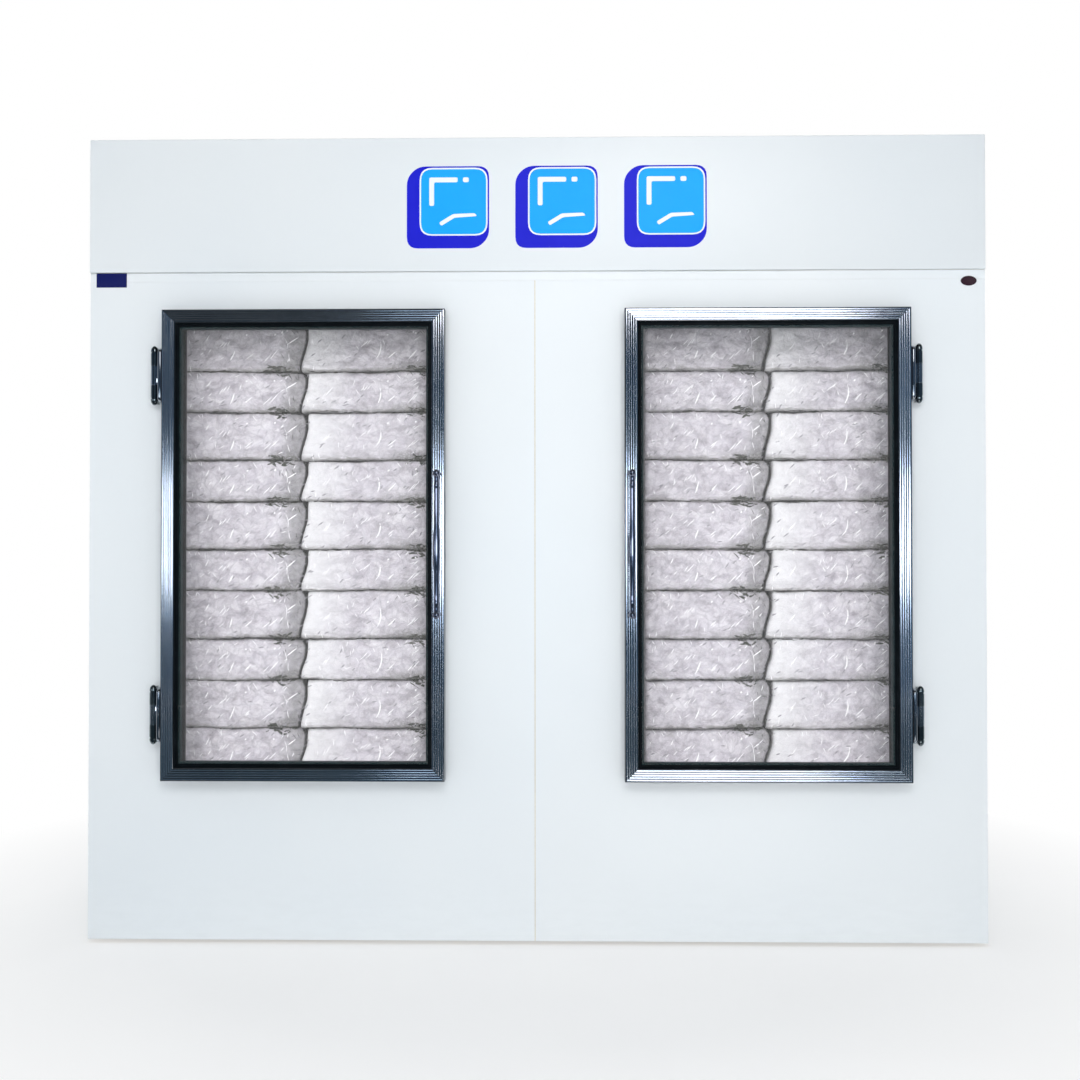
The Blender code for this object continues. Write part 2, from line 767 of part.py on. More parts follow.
def handle_profile():
    """Radii along the pull: a ball, a slim neck, a belly, a neck and a ball."""
    ball = HANDLE_BALL_RADIUS
    lower = []
    for step in range(ARC_STEPS + 1):
        angle = math.pi * step / (ARC_STEPS + 1)
        lower.append((ball * math.sin(angle), ball * (1 - math.cos(angle))))
    upper = [(radius, HANDLE_LENGTH - along) for radius, along in reversed(lower)]
    belly = HANDLE_LENGTH * HANDLE_BELLY_SHARE
    rise = HANDLE_LENGTH * HANDLE_SWELL_SHARE
    middle = [
        (HANDLE_NECK_RADIUS, 2 * ball),
        (HANDLE_NECK_RADIUS, belly - rise),
        (HANDLE_BELLY_RADIUS, belly - rise / 3),
        (HANDLE_BELLY_RADIUS, belly + rise / 3),
        (HANDLE_NECK_RADIUS, belly + rise),
        (HANDLE_NECK_RADIUS, HANDLE_LENGTH - 2 * ball),
    ]
    return lower + middle + upper


def door_handle(name, side, parent):
    """The upright chrome pull on two posts."""
    x = side * HANDLE_X
    handle = add(
        name,
        turned(handle_profile(), (x, HANDLE_Y, HANDLE_BOTTOM), (0, 0, 1), COARSE_SIDES),
        chrome(),
        parent,
        smooth=True,
    )
    reach = HANDLE_STANDOFF - TOUCH
    for z in (HANDLE_BOTTOM + HANDLE_BALL_RADIUS, HANDLE_BOTTOM + HANDLE_LENGTH - HANDLE_BALL_RADIUS):
        unite(handle, drum((x, HANDLE_Y, z), (0, 1, 0), HANDLE_POST_RADIUS, reach, COARSE_SIDES))


def hinge_leaf(name, side, z):
    """The fixed half of a hinge: plate, two webs, two domed knuckles and the pin."""
    x = side * HINGE_X
    half = HINGE_LENGTH / 2 - DOME_HEIGHT
    split = HINGE_LENGTH / 6
    plate = box(
        (x - BARREL_RADIUS, x + BARREL_RADIUS),
        (FACE - TOUCH - LEAF_PLATE, FACE - TOUCH),
        (z - half, z + half),
    )
    leaf = add(name, plate, chrome())
    for end in (-1, 1):
        near = z + end * (split + TOUCH)
        far = z + end * (half - TOUCH)
        web = (HINGE_Y, FACE - TOUCH - LEAF_PLATE / 2)
        unite(leaf, box((x - LEAF_WEB / 2, x + LEAF_WEB / 2), web, (near, far)))
        knuckle = [
            (BARREL_RADIUS, split),
            (BARREL_RADIUS, half),
            (BARREL_RADIUS * DOME_SHOULDER_SHARE, half + DOME_HEIGHT * DOME_SHOULDER_SHARE),
            (0, half + DOME_HEIGHT),
        ]
        unite(leaf, turned(knuckle, (x, HINGE_Y, z), (0, 0, end), COARSE_SIDES))
    pin = 2 * split + 2 * LEAF_PLATE
    unite(leaf, drum((x, HINGE_Y, z - pin / 2), (0, 0, 1), PIN_RADIUS, pin, COARSE_SIDES))


def strap_outline(side):
    """The door half's plan: flat against the door edge, round in front."""
    near = CENTRE_POST_WIDTH / 2 + DOOR_WIDTH + TOUCH
    radius = STRAP_WIDTH / 2
    back = HINGE_Y + STRAP_DEPTH / 2
    round_y = HINGE_Y - STRAP_DEPTH / 2 + radius
    points = [(near + STRAP_WIDTH, back), (near, back)]
    for step in range(ARC_STEPS + 2):
        angle = math.pi * step / (ARC_STEPS + 1)
        points.append((near + radius - radius * math.cos(angle), round_y - radius * math.sin(angle)))
    return [(side * x, y) for x, y in points]


def upright_prism(outline, z_low, z_high):
    """A prism of an (x, y) outline between two heights."""
    shape = bmesh.new()
    lower = [shape.verts.new((x, y, z_low)) for x, y in outline]
    upper = [shape.verts.new((x, y, z_high)) for x, y in outline]
    join_rings(shape, lower, upper)
    shape.faces.new(lower)
    shape.faces.new(upper)
    return shape


def hinge_strap(name, side, z, parent):
    """The moving half of a hinge: a strap on the door edge and the middle knuckle round the pin."""
    x = side * HINGE_X
    half = HINGE_LENGTH / 2 - STRAP_END_INSET
    split = HINGE_LENGTH / 6 - TOUCH
    strap = add(name, upright_prism(strap_outline(side), z - half, z + half), chrome(), parent, smooth=True)
    unite(strap, drum((x, HINGE_Y, z - split), (0, 0, 1), BARREL_RADIUS, 2 * split, COARSE_SIDES))
    from_strap = side * (CENTRE_POST_WIDTH / 2 + DOOR_WIDTH + STRAP_WIDTH / 2)
    arm_y = (HINGE_Y - ARM_DEPTH / 2, HINGE_Y + ARM_DEPTH / 2)
    arm_z = (z - split + TOUCH, z + split - TOUCH)
    unite(strap, box((from_strap, x), arm_y, arm_z))
    reach = split + OVERRUN
    bore = bore_radius(PIN_RADIUS, COARSE_SIDES)
    cut(strap, drum((x, HINGE_Y, z - reach), (0, 0, 1), bore, 2 * reach, COARSE_SIDES))


def door(side, hand):
    """One glass door with all that turns with it, and the fixed halves of its hinges."""
    axis = pivot(f"door_{hand}_axis", (side * HINGE_X, HINGE_Y, DOOR_MIDDLE_Z))
    door_ring(f"door_frame_{hand}", side, frame_section(), anodised(), axis)
    door_pane(f"outer_glass_{hand}", side, OUTER_PANE_FRONT, axis)
    door_pane(f"inner_glass_{hand}", side, INNER_PANE_FRONT, axis)
    spacer_inset = FRAME_FACE + GASKET_WIDTH + SPACER_SHOW - SPACER_WIDTH
    spacer = rectangle_section(spacer_inset, SPACER_WIDTH, SPACER_FRONT, INNER_PANE_FRONT - TOUCH)
    door_ring(f"glass_spacer_{hand}", side, spacer, dark_spacer(), axis)
    gasket = rectangle_section(
        FRAME_FACE + TOUCH,
        GASKET_WIDTH - TOUCH,
        DOOR_FRONT + GASKET_RECESS,
        OUTER_PANE_FRONT - TOUCH,
    )
    door_ring(f"glazing_gasket_{hand}", side, gasket, black_rubber(), axis)
    seal = rectangle_section(SEAL_INSET, SEAL_WIDTH, DOOR_BACK + TOUCH, FACE - TOUCH)
    door_ring(f"door_seal_{hand}", side, seal, black_rubber(), axis)
    door_handle(f"door_handle_{hand}", side, axis)
    for level, shift in (("upper", 1), ("lower", -1)):
        z = DOOR_MIDDLE_Z + shift * HINGE_SPACING / 2
        hinge_strap(f"{level}_hinge_strap_{hand}", side, z, axis)
        hinge_leaf(f"{level}_hinge_leaf_{hand}", side, z)


def fan(name, centre, tip_radius, to_motor):
    """A hub with a blind bore on the motor's side, and pitched blades."""
    x, y, z = centre
    axis = pivot(f"{name}_axis", centre)
    start = y - FAN_HUB_LENGTH / 2
    hub = drum((x, start, z), (0, 1, 0), FAN_HUB_RADIUS, FAN_HUB_LENGTH, COARSE_SIDES)
    made = add(name, hub, black_plastic(), axis)
    for blade in range(FAN_BLADES):
        unite(made, fan_blade(centre, tip_radius, math.tau * blade / FAN_BLADES))
    bore = drum(
        (x, y - to_motor * FAN_HUB_LENGTH * BORE_START_SHARE, z),
        (0, to_motor, 0),
        bore_radius(SHAFT_RADIUS, COARSE_SIDES),
        FAN_HUB_LENGTH,
        COARSE_SIDES,
    )
    cut(made, bore)


def fan_blade(centre, tip_radius, angle):
    """One flat blade, wider at the tip, set at the pitch to the fan's plane."""
    pitch = math.radians(FAN_BLADE_PITCH)
    outward = Vector((math.cos(angle), 0, math.sin(angle)))
    round_way = Vector((-math.sin(angle), 0, math.cos(angle)))
    along = Vector((0, 1, 0))
    chord_way = round_way * math.cos(pitch) + along * math.sin(pitch)
    thick_way = along * math.cos(pitch) - round_way * math.sin(pitch)
    chord = tip_radius * BLADE_CHORD_SHARE
    side_reach = chord / 2 * math.cos(pitch) + FAN_BLADE_WALL
    tip = math.sqrt(tip_radius**2 - side_reach**2)
    root = FAN_HUB_RADIUS * BLADE_ROOT_SHARE
    shape = bmesh.new()
    ends = []
    for radius, width in ((root, FAN_HUB_RADIUS), (tip, chord)):
        corners = []
        for across, through in ((-1, -1), (1, -1), (1, 1), (-1, 1)):
            place = outward * radius
            place += chord_way * across * width / 2
            place += thick_way * through * FAN_BLADE_WALL / 2
            corners.append(shape.verts.new(Vector(centre) + place))
        ends.append(corners)
    join_rings(shape, *ends)
    for end in ends:
        shape.faces.new(end)
    return shape


def fan_motor(name, fan_centre, away, foot):
    """A round motor on a bracket, with its shaft in the fan's bore; foot is the height that it is fixed at."""
    x, fan_y, z = fan_centre
    face = fan_y + away * (FAN_HUB_LENGTH / 2 + FAN_CLEARANCE)
    body = drum((x, face, z), (0, away, 0), MOTOR_RADIUS, MOTOR_LENGTH, FINE_SIDES)
    motor = add(name, body, black_enamel(), smooth=True)
    bore_end = fan_y - away * FAN_HUB_LENGTH * BORE_START_SHARE
    inside = face + away * MOTOR_LENGTH / 2
    shaft = abs(inside - bore_end) - TOUCH
    unite(motor, drum((x, inside, z), (0, -away, 0), SHAFT_RADIUS, shaft, COARSE_SIDES))
    upright = box(
        (x - BRACKET_WIDTH / 2, x + BRACKET_WIDTH / 2),
        (inside - BRACKET_WALL / 2, inside + BRACKET_WALL / 2),
        (z, foot),
    )
    towards = math.copysign(BRACKET_WALL, z - foot)
    plate = box(
        (x - BRACKET_FOOT / 2, x + BRACKET_FOOT / 2),
        (inside - BRACKET_WIDTH / 2, inside + BRACKET_WIDTH / 2),
        (foot, foot + towards),
    )
    unite(motor, upright, plate)


def pipe(name, corners, radius):
    """A bent copper line with closed ends."""
    curve = bpy.data.curves.new(name, "CURVE")
    curve.dimensions = "3D"
    curve.bevel_depth = radius
    curve.bevel_resolution = 2
    curve.use_fill_caps = True
    curve.render_resolution_u = 0
    points = rounded_path(corners, LINE_BEND)
    spline = curve.splines.new("POLY")
    spline.points.add(len(points) - 1)
    for target, point in zip(spline.points, points):
        target.co = (*point, 1.0)
    guide = bpy.data.objects.new(name, curve)
    bpy.context.scene.collection.objects.link(guide)
    bpy.context.view_layer.update()
    evaluated = guide.evaluated_get(bpy.context.evaluated_depsgraph_get())
    swept = bpy.data.meshes.new_from_object(evaluated)
    bpy.data.objects.remove(guide, do_unlink=True)
    shape = bmesh.new()
    shape.from_mesh(swept)
    bmesh.ops.remove_doubles(shape, verts=shape.verts, dist=TOUCH / ARC_STEPS)
    return add(name, shape, copper(), smooth=True)


def evaporator_fan_centre():
    return (0, FACE + EVAPORATOR_FRONT + SHEET, CEILING - EVAPORATOR_FAN_DROP)


def evaporator_pan_bottom():
    return CEILING - TOUCH - EVAPORATOR_HEIGHT - TOUCH - PAN_HEIGHT


def evaporator_coil_rear():
    return FACE + EVAPORATOR_REAR - EVAPORATOR_COIL_INSET


def evaporator():
    """The cooling unit under the ceiling of the centre bay, and its pan with a spout out through the rear wall."""
    half = EVAPORATOR_WIDTH / 2
    front = FACE + EVAPORATOR_FRONT
    rear = FACE + EVAPORATOR_REAR
    top = CEILING - TOUCH
    bottom = top - EVAPORATOR_HEIGHT
    housing = add("evaporator_housing", box((-half, half), (front, rear), (bottom, top)), aluminium())
    inner = half - SHEET
    hollow = box((-inner, inner), (front + SHEET, rear + OVERRUN), (bottom - OVERRUN, top - SHEET))
    centre = evaporator_fan_centre()
    mouth = drum(
        (centre[0], front - OVERRUN, centre[2]),
        (0, 1, 0),
        EVAPORATOR_FAN_RADIUS + FAN_CLEARANCE,
        2 * OVERRUN + SHEET,
        FINE_SIDES,
    )
    cut(housing, hollow, mouth)
    fan("evaporator_fan", centre, EVAPORATOR_FAN_RADIUS, 1)
    fan_motor("evaporator_motor", centre, 1, top - SHEET - TOUCH)
    pan_low = evaporator_pan_bottom()
    pan_top = pan_low + PAN_HEIGHT
    pan = add("drain_pan", box((-half, half), (front, rear), (pan_low, pan_top)), white_plastic())
    spout_start = (DRAIN_PLACE, rear - PAN_WALL, drain_height())
    unite(pan, drum(spout_start, (0, 1, 0), DRAIN_RADIUS, REAR - spout_start[1], COARSE_SIDES))
    wall = half - PAN_WALL
    basin = box(
        (-wall, wall),
        (front + PAN_WALL, rear - PAN_WALL),
        (pan_low + PAN_WALL, pan_top + OVERRUN),
    )
    outlet = drum(
        (DRAIN_PLACE, rear - OVERRUN, drain_height()),
        (0, 1, 0),
        DRAIN_RADIUS - PAN_WALL,
        REAR - rear + 2 * OVERRUN,
        COARSE_SIDES,
    )
    cut(pan, basin, outlet)
    coil_rear = evaporator_coil_rear()
    reach = half - EVAPORATOR_COIL_INSET
    coil = box(
        (-reach, reach),
        (coil_rear - EVAPORATOR_COIL_DEPTH, coil_rear),
        (pan_low + PAN_WALL + TOUCH, top - SHEET - TOUCH),
    )
    add("evaporator_coil", coil, aluminium())


def tray_floor():
    return CEILING_TOP + TOUCH + SHEET


def condenser_coil_middle():
    middle_y = REAR - COIL_REAR_GAP - COIL_DEPTH / 2
    return (COIL_MIDDLE, middle_y, tray_floor() + TOUCH + COIL_HEIGHT / 2)


def condenser_fan_centre():
    x, y, z = condenser_coil_middle()
    return (x, y - COIL_DEPTH / 2 - TOUCH - SHROUD_DEPTH + SHEET, z)


def condensing_unit():
    """Tray, compressor, condenser and its fan behind the header."""
    low = CEILING_TOP + TOUCH
    half = TRAY_WIDTH / 2
    back = REAR - TRAY_REAR_GAP
    front = back - TRAY_DEPTH
    tray = add("machine_tray", box((-half, half), (front, back), (low, low + TRAY_RIM)), galvanised())
    basin = box(
        (-half + SHEET, half - SHEET),
        (front + SHEET, back - SHEET),
        (tray_floor(), low + TRAY_RIM + OVERRUN),
    )
    cut(tray, basin, *port_drums(low - OVERRUN, low + OVERRUN))
    x, y, z = condenser_coil_middle()
    upright = (z - COIL_HEIGHT / 2, z + COIL_HEIGHT / 2)
    across = (x - COIL_WIDTH / 2, x + COIL_WIDTH / 2)
    through = (y - COIL_DEPTH / 2, y + COIL_DEPTH / 2)
    coil = add("condenser_coil", box(across, through, upright), aluminium())
    for end in (-1, 1):
        edge = x + end * COIL_WIDTH / 2
        plate = box(
            (edge - end * COIL_PLATE, edge + end * COIL_PLATE),
            (through[0], through[1] + COIL_PLATE_LIP),
            (upright[0], upright[1] + COIL_PLATE_LIP),
        )
        unite(coil, plate)
    shroud_back = through[0] - TOUCH
    shroud_front = shroud_back - SHROUD_DEPTH
    shroud = add("fan_shroud", box(across, (shroud_front, shroud_back), upright), galvanised())
    hollow = box(
        (across[0] + SHEET, across[1] - SHEET),
        (shroud_front + SHEET, shroud_back + OVERRUN),
        (upright[0] + SHEET, upright[1] - SHEET),
    )
    mouth = drum(
        (x, shroud_front - OVERRUN, z),
        (0, 1, 0),
        CONDENSER_FAN_RADIUS + FAN_CLEARANCE,
        2 * OVERRUN + SHEET,
        FINE_SIDES,
    )
    cut(shroud, hollow, mouth)
    centre = condenser_fan_centre()
    fan("condenser_fan", centre, CONDENSER_FAN_RADIUS, -1)
    fan_motor("condenser_fan_motor", centre, -1, tray_floor() + TOUCH)


def compressor_centre():
    return (COMPRESSOR_PLACE, REAR - COMPRESSOR_REAR_GAP, tray_floor() + TOUCH)


def compressor():
    """A hermetic shell on a square foot plate."""
    x, y, z = compressor_centre()
    foot = COMPRESSOR_FOOT / 2
    top = z + COMPRESSOR_HEIGHT
    bottom = z + COMPRESSOR_FOOT_WALL / 2
    radius = COMPRESSOR_RADIUS
    profile = [(radius * DOME_RISE_SHARE, bottom), (radius, bottom + radius * DOME_RISE_SHARE / 2)]
    for step in range(ARC_STEPS + 1):
        angle = math.pi / 2 * step / ARC_STEPS
        rise = radius * DOME_RISE_SHARE * math.sin(angle)
        start = top - radius * DOME_RISE_SHARE
        profile.append((radius * math.cos(angle) if step < ARC_STEPS else 0, start + rise))
    shell = turned(profile, (x, y, 0), (0, 0, 1), FINE_SIDES)
    made = add("compressor", shell, black_enamel(), smooth=True)
    unite(made, box((x - foot, x + foot), (y - foot, y + foot), (z, z + COMPRESSOR_FOOT_WALL)))


def refrigerant_lines():
    """Three copper lines between the compressor, the condenser and the evaporator."""
    x, y, z = compressor_centre()
    coil_x, coil_y, coil_z = condenser_coil_middle()
    end = coil_x + COIL_WIDTH / 2 + COIL_PLATE + TOUCH
    top = z + COMPRESSOR_HEIGHT + TOUCH
    high = top + LINE_BEND + LINE_RADIUS
    pipe(
        "discharge_line",
        [(x, y, top), (x, y, high), (x, coil_y, high), (end, coil_y, high)],
        LINE_RADIUS,
    )
    left = -PORT_SPACING / 2
    cold_z = CEILING - EVAPORATOR_HEIGHT / 2
    rear = evaporator_coil_rear() + TOUCH
    level = tray_floor() + DRIER_RAISE + DRIER_LENGTH + LINE_BEND + LINE_RADIUS
    liquid = pipe(
        "liquid_line",
        [
            (end, coil_y, level),
            (left, coil_y, level),
            (left, PORT_Y, level),
            (left, PORT_Y, cold_z),
            (left, rear, cold_z),
        ],
        LINE_RADIUS,
    )
    low = tray_floor() + DRIER_RAISE
    neck = LINE_RADIUS * DRIER_NECK_SHARE
    shell = [
        (neck, low),
        (DRIER_RADIUS, low + DRIER_RADIUS),
        (DRIER_RADIUS, low + DRIER_LENGTH - DRIER_RADIUS),
        (neck, low + DRIER_LENGTH),
    ]
    unite(liquid, turned(shell, (left, PORT_Y, 0), (0, 0, 1), COARSE_SIDES))
    right = PORT_SPACING / 2
    shell_z = z + COMPRESSOR_HEIGHT / 2
    pipe(
        "suction_line",
        [
            (right, rear, cold_z),
            (right, PORT_Y, cold_z),
            (right, PORT_Y, shell_z),
            (right, y, shell_z),
            (x - COMPRESSOR_RADIUS - TOUCH, y, shell_z),
        ],
        SUCTION_RADIUS,
    )


def control_box():
    """The electrical box, open towards the front, with a switch pocket and the cord's gland on its thick face."""
    half = CONTROL_BOX_WIDTH / 2
    across = (CONTROL_MIDDLE - half, CONTROL_MIDDLE + half)
    low = CEILING_TOP + TOUCH
    upright = (low, low + CONTROL_BOX_HEIGHT)
    front = CONTROL_FACE - CONTROL_BOX_DEPTH
    made = add("electrical_box", box(across, (front, CONTROL_FACE), upright), galvanised())
    wall = PAN_WALL
    hollow = box(
        (across[0] + wall, across[1] - wall),
        (front - OVERRUN, CONTROL_FACE - CONTROL_FACE_WALL),
        (upright[0] + wall, upright[1] - wall),
    )
    x = CONTROL_MIDDLE - CONTROL_SPACING
    z = control_middle_z()
    pocket_x = SWITCH_WIDTH / 2 + TOUCH
    pocket_z = SWITCH_HEIGHT / 2 + SWITCH_SWING_ROOM
    pocket = box(
        (x - pocket_x, x + pocket_x),
        (CONTROL_FACE - SWITCH_POCKET_DEPTH, CONTROL_FACE + OVERRUN),
        (z - pocket_z, z + pocket_z),
    )
    face_inside = CONTROL_FACE - CONTROL_FACE_WALL / 2
    gland_length = CONTROL_FACE_WALL / 2 + GLAND_DEPTH
    gland = drum((CONTROL_MIDDLE, face_inside, z), (0, 1, 0), GLAND_RADIUS, gland_length, COARSE_SIDES)
    unite(made, gland)
    bore_start = (CONTROL_MIDDLE, CONTROL_FACE + GLAND_DEPTH / 2, z)
    bore = drum(bore_start, (0, 1, 0), GLAND_BORE, GLAND_DEPTH, COARSE_SIDES)
    cut(made, hollow, pocket, bore)


def power_switch():
    """A rocker that tips about a level axis just behind the face."""
    x = CONTROL_MIDDLE - CONTROL_SPACING
    z = control_middle_z()
    axis_y = CONTROL_FACE - SWITCH_AXIS_DEPTH
    axis = pivot("power_switch_axis", (x, axis_y, z))
    back = CONTROL_FACE + SWITCH_PROUD - SWITCH_DEPTH
    half = SWITCH_HEIGHT / 2
    outline = (
        (back, z - half),
        (CONTROL_FACE + SWITCH_PROUD, z - half),
        (CONTROL_FACE, z),
        (CONTROL_FACE + SWITCH_PROUD, z + half),
        (back, z + half),
    )
    shape = bmesh.new()
    ends = []
    for end_x in (x - SWITCH_WIDTH / 2, x + SWITCH_WIDTH / 2):
        ends.append([shape.verts.new((end_x, y, height)) for y, height in outline])
    join_rings(shape, *ends)
    for end in ends:
        shape.faces.new(end)
    add("power_switch", shape, black_plastic(), axis)


def thermostat_knob():
    """A round knob with a pointer ridge."""
    x = CONTROL_MIDDLE + CONTROL_SPACING
    z = control_middle_z()
    start = CONTROL_FACE + TOUCH
    axis = pivot("thermostat_knob_axis", (x, start, z))
    profile = [(KNOB_RADIUS, 0), (KNOB_RADIUS * KNOB_TAPER_SHARE, KNOB_DEPTH)]
    knob = add(
        "thermostat_knob",
        turned(profile, (x, start, z), (0, 1, 0), FINE_SIDES),
        black_plastic(),
        axis,
        smooth=True,
    )
    ridge = box(
        (x - KNOB_POINTER / 2, x + KNOB_POINTER / 2),
        (start + KNOB_DEPTH / 2, start + KNOB_DEPTH + KNOB_POINTER),
        (z, z + KNOB_RADIUS * KNOB_TAPER_SHARE - KNOB_POINTER),
    )
    unite(knob, ridge)


def build():
    """The whole merchandiser."""
    clear_scene()
    wall_panels()
    inner_liner()
    front_skins()
    outer_wrap()
    header_panel()
    compartment_sheets()
    rear_grille()
    base_runners()
    interior_light()
    for side, hand in ((-1, "left"), (1, "right")):
        door(side, hand)
        bag_stack(side, f"ice_bag_stack_{hand}")
    evaporator()
    condensing_unit()
    compressor()
    refrigerant_lines()
    control_box()
    power_switch()
    thermostat_knob()


build()
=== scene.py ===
# %% [markdown]
# # A two-door ice merchandiser, dressed in Blender
#
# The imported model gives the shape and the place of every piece. This lesson gives them their looks.
# It goes from the outside in: room and camera, painted sheets, door frames, glass, handles, hinges,
# bags of ice, and then the machinery behind the header and under the ceiling.
# Each step says what the real thing is, how it could be made, and why this way was chosen.

# %% Load the frame
import math

import bmesh
import bpy
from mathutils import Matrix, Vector, noise
from mathutils.bvhtree import BVHTree


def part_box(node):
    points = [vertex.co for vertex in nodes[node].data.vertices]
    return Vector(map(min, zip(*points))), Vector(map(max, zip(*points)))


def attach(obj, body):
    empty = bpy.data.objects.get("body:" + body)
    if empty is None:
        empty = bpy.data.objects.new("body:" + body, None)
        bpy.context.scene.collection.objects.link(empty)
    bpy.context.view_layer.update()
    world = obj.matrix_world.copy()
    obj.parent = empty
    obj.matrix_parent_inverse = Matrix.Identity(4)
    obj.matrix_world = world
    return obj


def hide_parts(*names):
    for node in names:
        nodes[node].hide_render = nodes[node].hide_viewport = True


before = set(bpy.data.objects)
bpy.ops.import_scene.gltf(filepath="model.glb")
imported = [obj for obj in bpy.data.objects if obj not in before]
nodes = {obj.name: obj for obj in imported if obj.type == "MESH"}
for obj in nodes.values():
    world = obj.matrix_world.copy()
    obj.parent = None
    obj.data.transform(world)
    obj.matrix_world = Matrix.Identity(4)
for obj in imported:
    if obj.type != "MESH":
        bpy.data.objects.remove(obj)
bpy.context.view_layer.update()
SIDES = (("left", -1), ("right", 1))

# %% [markdown]
# ## Camera
# The photograph was taken almost straight on, a little to the right of the middle and at half the
# cabinet's height. One could turn the camera by eye, but the vertical edges of a wide, flat front
# give a small error away at once. So its place and turn were solved from the corners of the doors
# and of the header, and are typed here as numbers.

# %% Camera
camera_data = bpy.data.cameras.new("camera")
camera_data.sensor_fit = "HORIZONTAL"
camera_data.sensor_width = 36.0
camera_data.lens = 41.29
camera = bpy.data.objects.new("camera", camera_data)
camera.location = (0.0735, -3.721, 1.0292)
camera.rotation_euler = (math.pi / 2 + 0.0136, 0.0004, 0.0182)
bpy.context.scene.collection.objects.link(camera)
bpy.context.scene.camera = camera
bpy.context.scene.view_settings.view_transform = "Standard"
print("the camera stands", round(-camera.location.y, 2), "m in front of the middle of the cabinet")

# %% [markdown]
# ## Node trees in a few words
# A finish is a small tree of shader nodes. Written out link by link it soon hides what it says, so
# two short helpers carry the lesson: one starts a material and gives back its main shader, the other
# adds a node, sets its values and plugs in its inputs. Numbers that hold for the whole surface are
# set on the shader's own sockets.

# %% Helpers for nodes
def start_material(name, colour=(0.8, 0.8, 0.8), **values):
    """A new material; gives its node tree and its main shader."""
    made = bpy.data.materials.new(name)
    made.use_nodes = True
    tree = made.node_tree
    shader = tree.nodes["Principled BSDF"]
    shader.inputs["Base Color"].default_value = (*colour, 1.0)
    for key, value in values.items():
        shader.inputs[key.replace("_", " ").title().replace("Ior", "IOR")].default_value = value
    return made, tree, shader


def put(tree, kind, settings=None, **plugs):
    """A node with its settings, and each named input either linked to a socket or given a value."""
    node = tree.nodes.new(kind)
    for key, value in (settings or {}).items():
        setattr(node, key, value)
    for key, value in plugs.items():
        by_number = key[0] == "i" and key[1:].isdigit()
        socket = node.inputs[int(key[1:]) if by_number else key.replace("_", " ")]
        if isinstance(value, bpy.types.NodeSocket):
            tree.links.new(value, socket)
        else:
            socket.default_value = value
    return node


def feed(tree, shader, **plugs):
    """Link a socket to each named input of a shader."""
    for key, socket in plugs.items():
        tree.links.new(socket, shader.inputs[key.replace("_", " ")])


def show(tree, node):
    """Make this shader the one that the surface shows."""
    feed(tree, tree.nodes["Material Output"], Surface=node.outputs[0])


def reshaped(tree, place, **plugs):
    """A place turned or stretched."""
    return put(tree, "ShaderNodeMapping", Vector=place, **plugs).outputs[0]


def object_place(tree, stretch=(1, 1, 1)):
    """The place on the object in metres, stretched as asked."""
    place = put(tree, "ShaderNodeTexCoord").outputs["Object"]
    return reshaped(tree, place, Scale=stretch)


def coordinates(tree):
    """The place on the object in metres, as three sockets: X, Y and the height Z."""
    place = put(tree, "ShaderNodeTexCoord").outputs["Object"]
    return put(tree, "ShaderNodeSeparateXYZ", Vector=place).outputs


def attribute(tree, name):
    """A number that the mesh carries at its points or faces."""
    return put(tree, "ShaderNodeAttribute", {"attribute_name": name}).outputs["Fac"]


print("helpers for nodes are ready")

# %% [markdown]
# ## Patterns
# No real finish is one flat colour: paint drifts in tone, metal has a fine grain, rubber a bloom. An
# image could show that, but it has to be unwrapped and blurs up close. Noise worked out from the place
# on the object in metres keeps its scale on every piece, so these helpers make their patterns that way.

# %% Helpers for patterns
def clouds(tree, place, scale, detail=3.0, rough=0.5):
    """Soft noise between 0 and 1."""
    node = put(tree, "ShaderNodeTexNoise", Vector=place, Scale=scale, Detail=detail, Roughness=rough)
    return node.outputs["Fac"]


def cell_pattern(tree, place, scale, feature="F1", output="Distance"):
    """Cells like crystals or cubes: the distance in each cell, or a colour for each cell."""
    node = put(tree, "ShaderNodeTexVoronoi", {"feature": feature}, Vector=place, Scale=scale)
    return node.outputs[output]


def ramp(tree, value, *stops):
    """A colour ramp from (position, colour or grey) stops."""
    node = put(tree, "ShaderNodeValToRGB", Fac=value)
    marks = node.color_ramp.elements
    while len(marks) < len(stops):
        marks.new(0.5)
    for mark, (position, colour) in zip(marks, stops):
        mark.position = position
        mark.color = (colour, colour, colour, 1) if isinstance(colour, (int, float)) else (*colour, 1)
    return node.outputs["Color"]


def blend_colours(tree, factor, first, second, how="MIX"):
    """Two colours mixed by a factor; each may be a value or a socket."""
    node = put(tree, "ShaderNodeMix", {"data_type": "RGBA", "blend_type": how})
    for index, value in ((0, factor), (6, first), (7, second)):
        if isinstance(value, bpy.types.NodeSocket):
            tree.links.new(value, node.inputs[index])
        else:
            node.inputs[index].default_value = value if index == 0 else (*value, 1)
    return node.outputs[2]


def bumps(tree, shader, height, depth, strength=1.0):
    """Small relief from a height between 0 and 1, with its depth in metres."""
    node = put(tree, "ShaderNodeBump", Height=height, Distance=depth, Strength=strength)
    feed(tree, shader, Normal=node.outputs[0])


def rescale(tree, value, low, high, new_low, new_high):
    """The value moved from one range to another and held inside it."""
    return put(tree, "ShaderNodeMapRange", i0=value, i1=low, i2=high, i3=new_low, i4=new_high).outputs[0]


def calculate(tree, operation, first, second=0.0):
    """One step of arithmetic on sockets or numbers."""
    return put(tree, "ShaderNodeMath", {"operation": operation}, i0=first, i1=second).outputs[0]


def times(tree, first, second):
    return calculate(tree, "MULTIPLY", first, second)


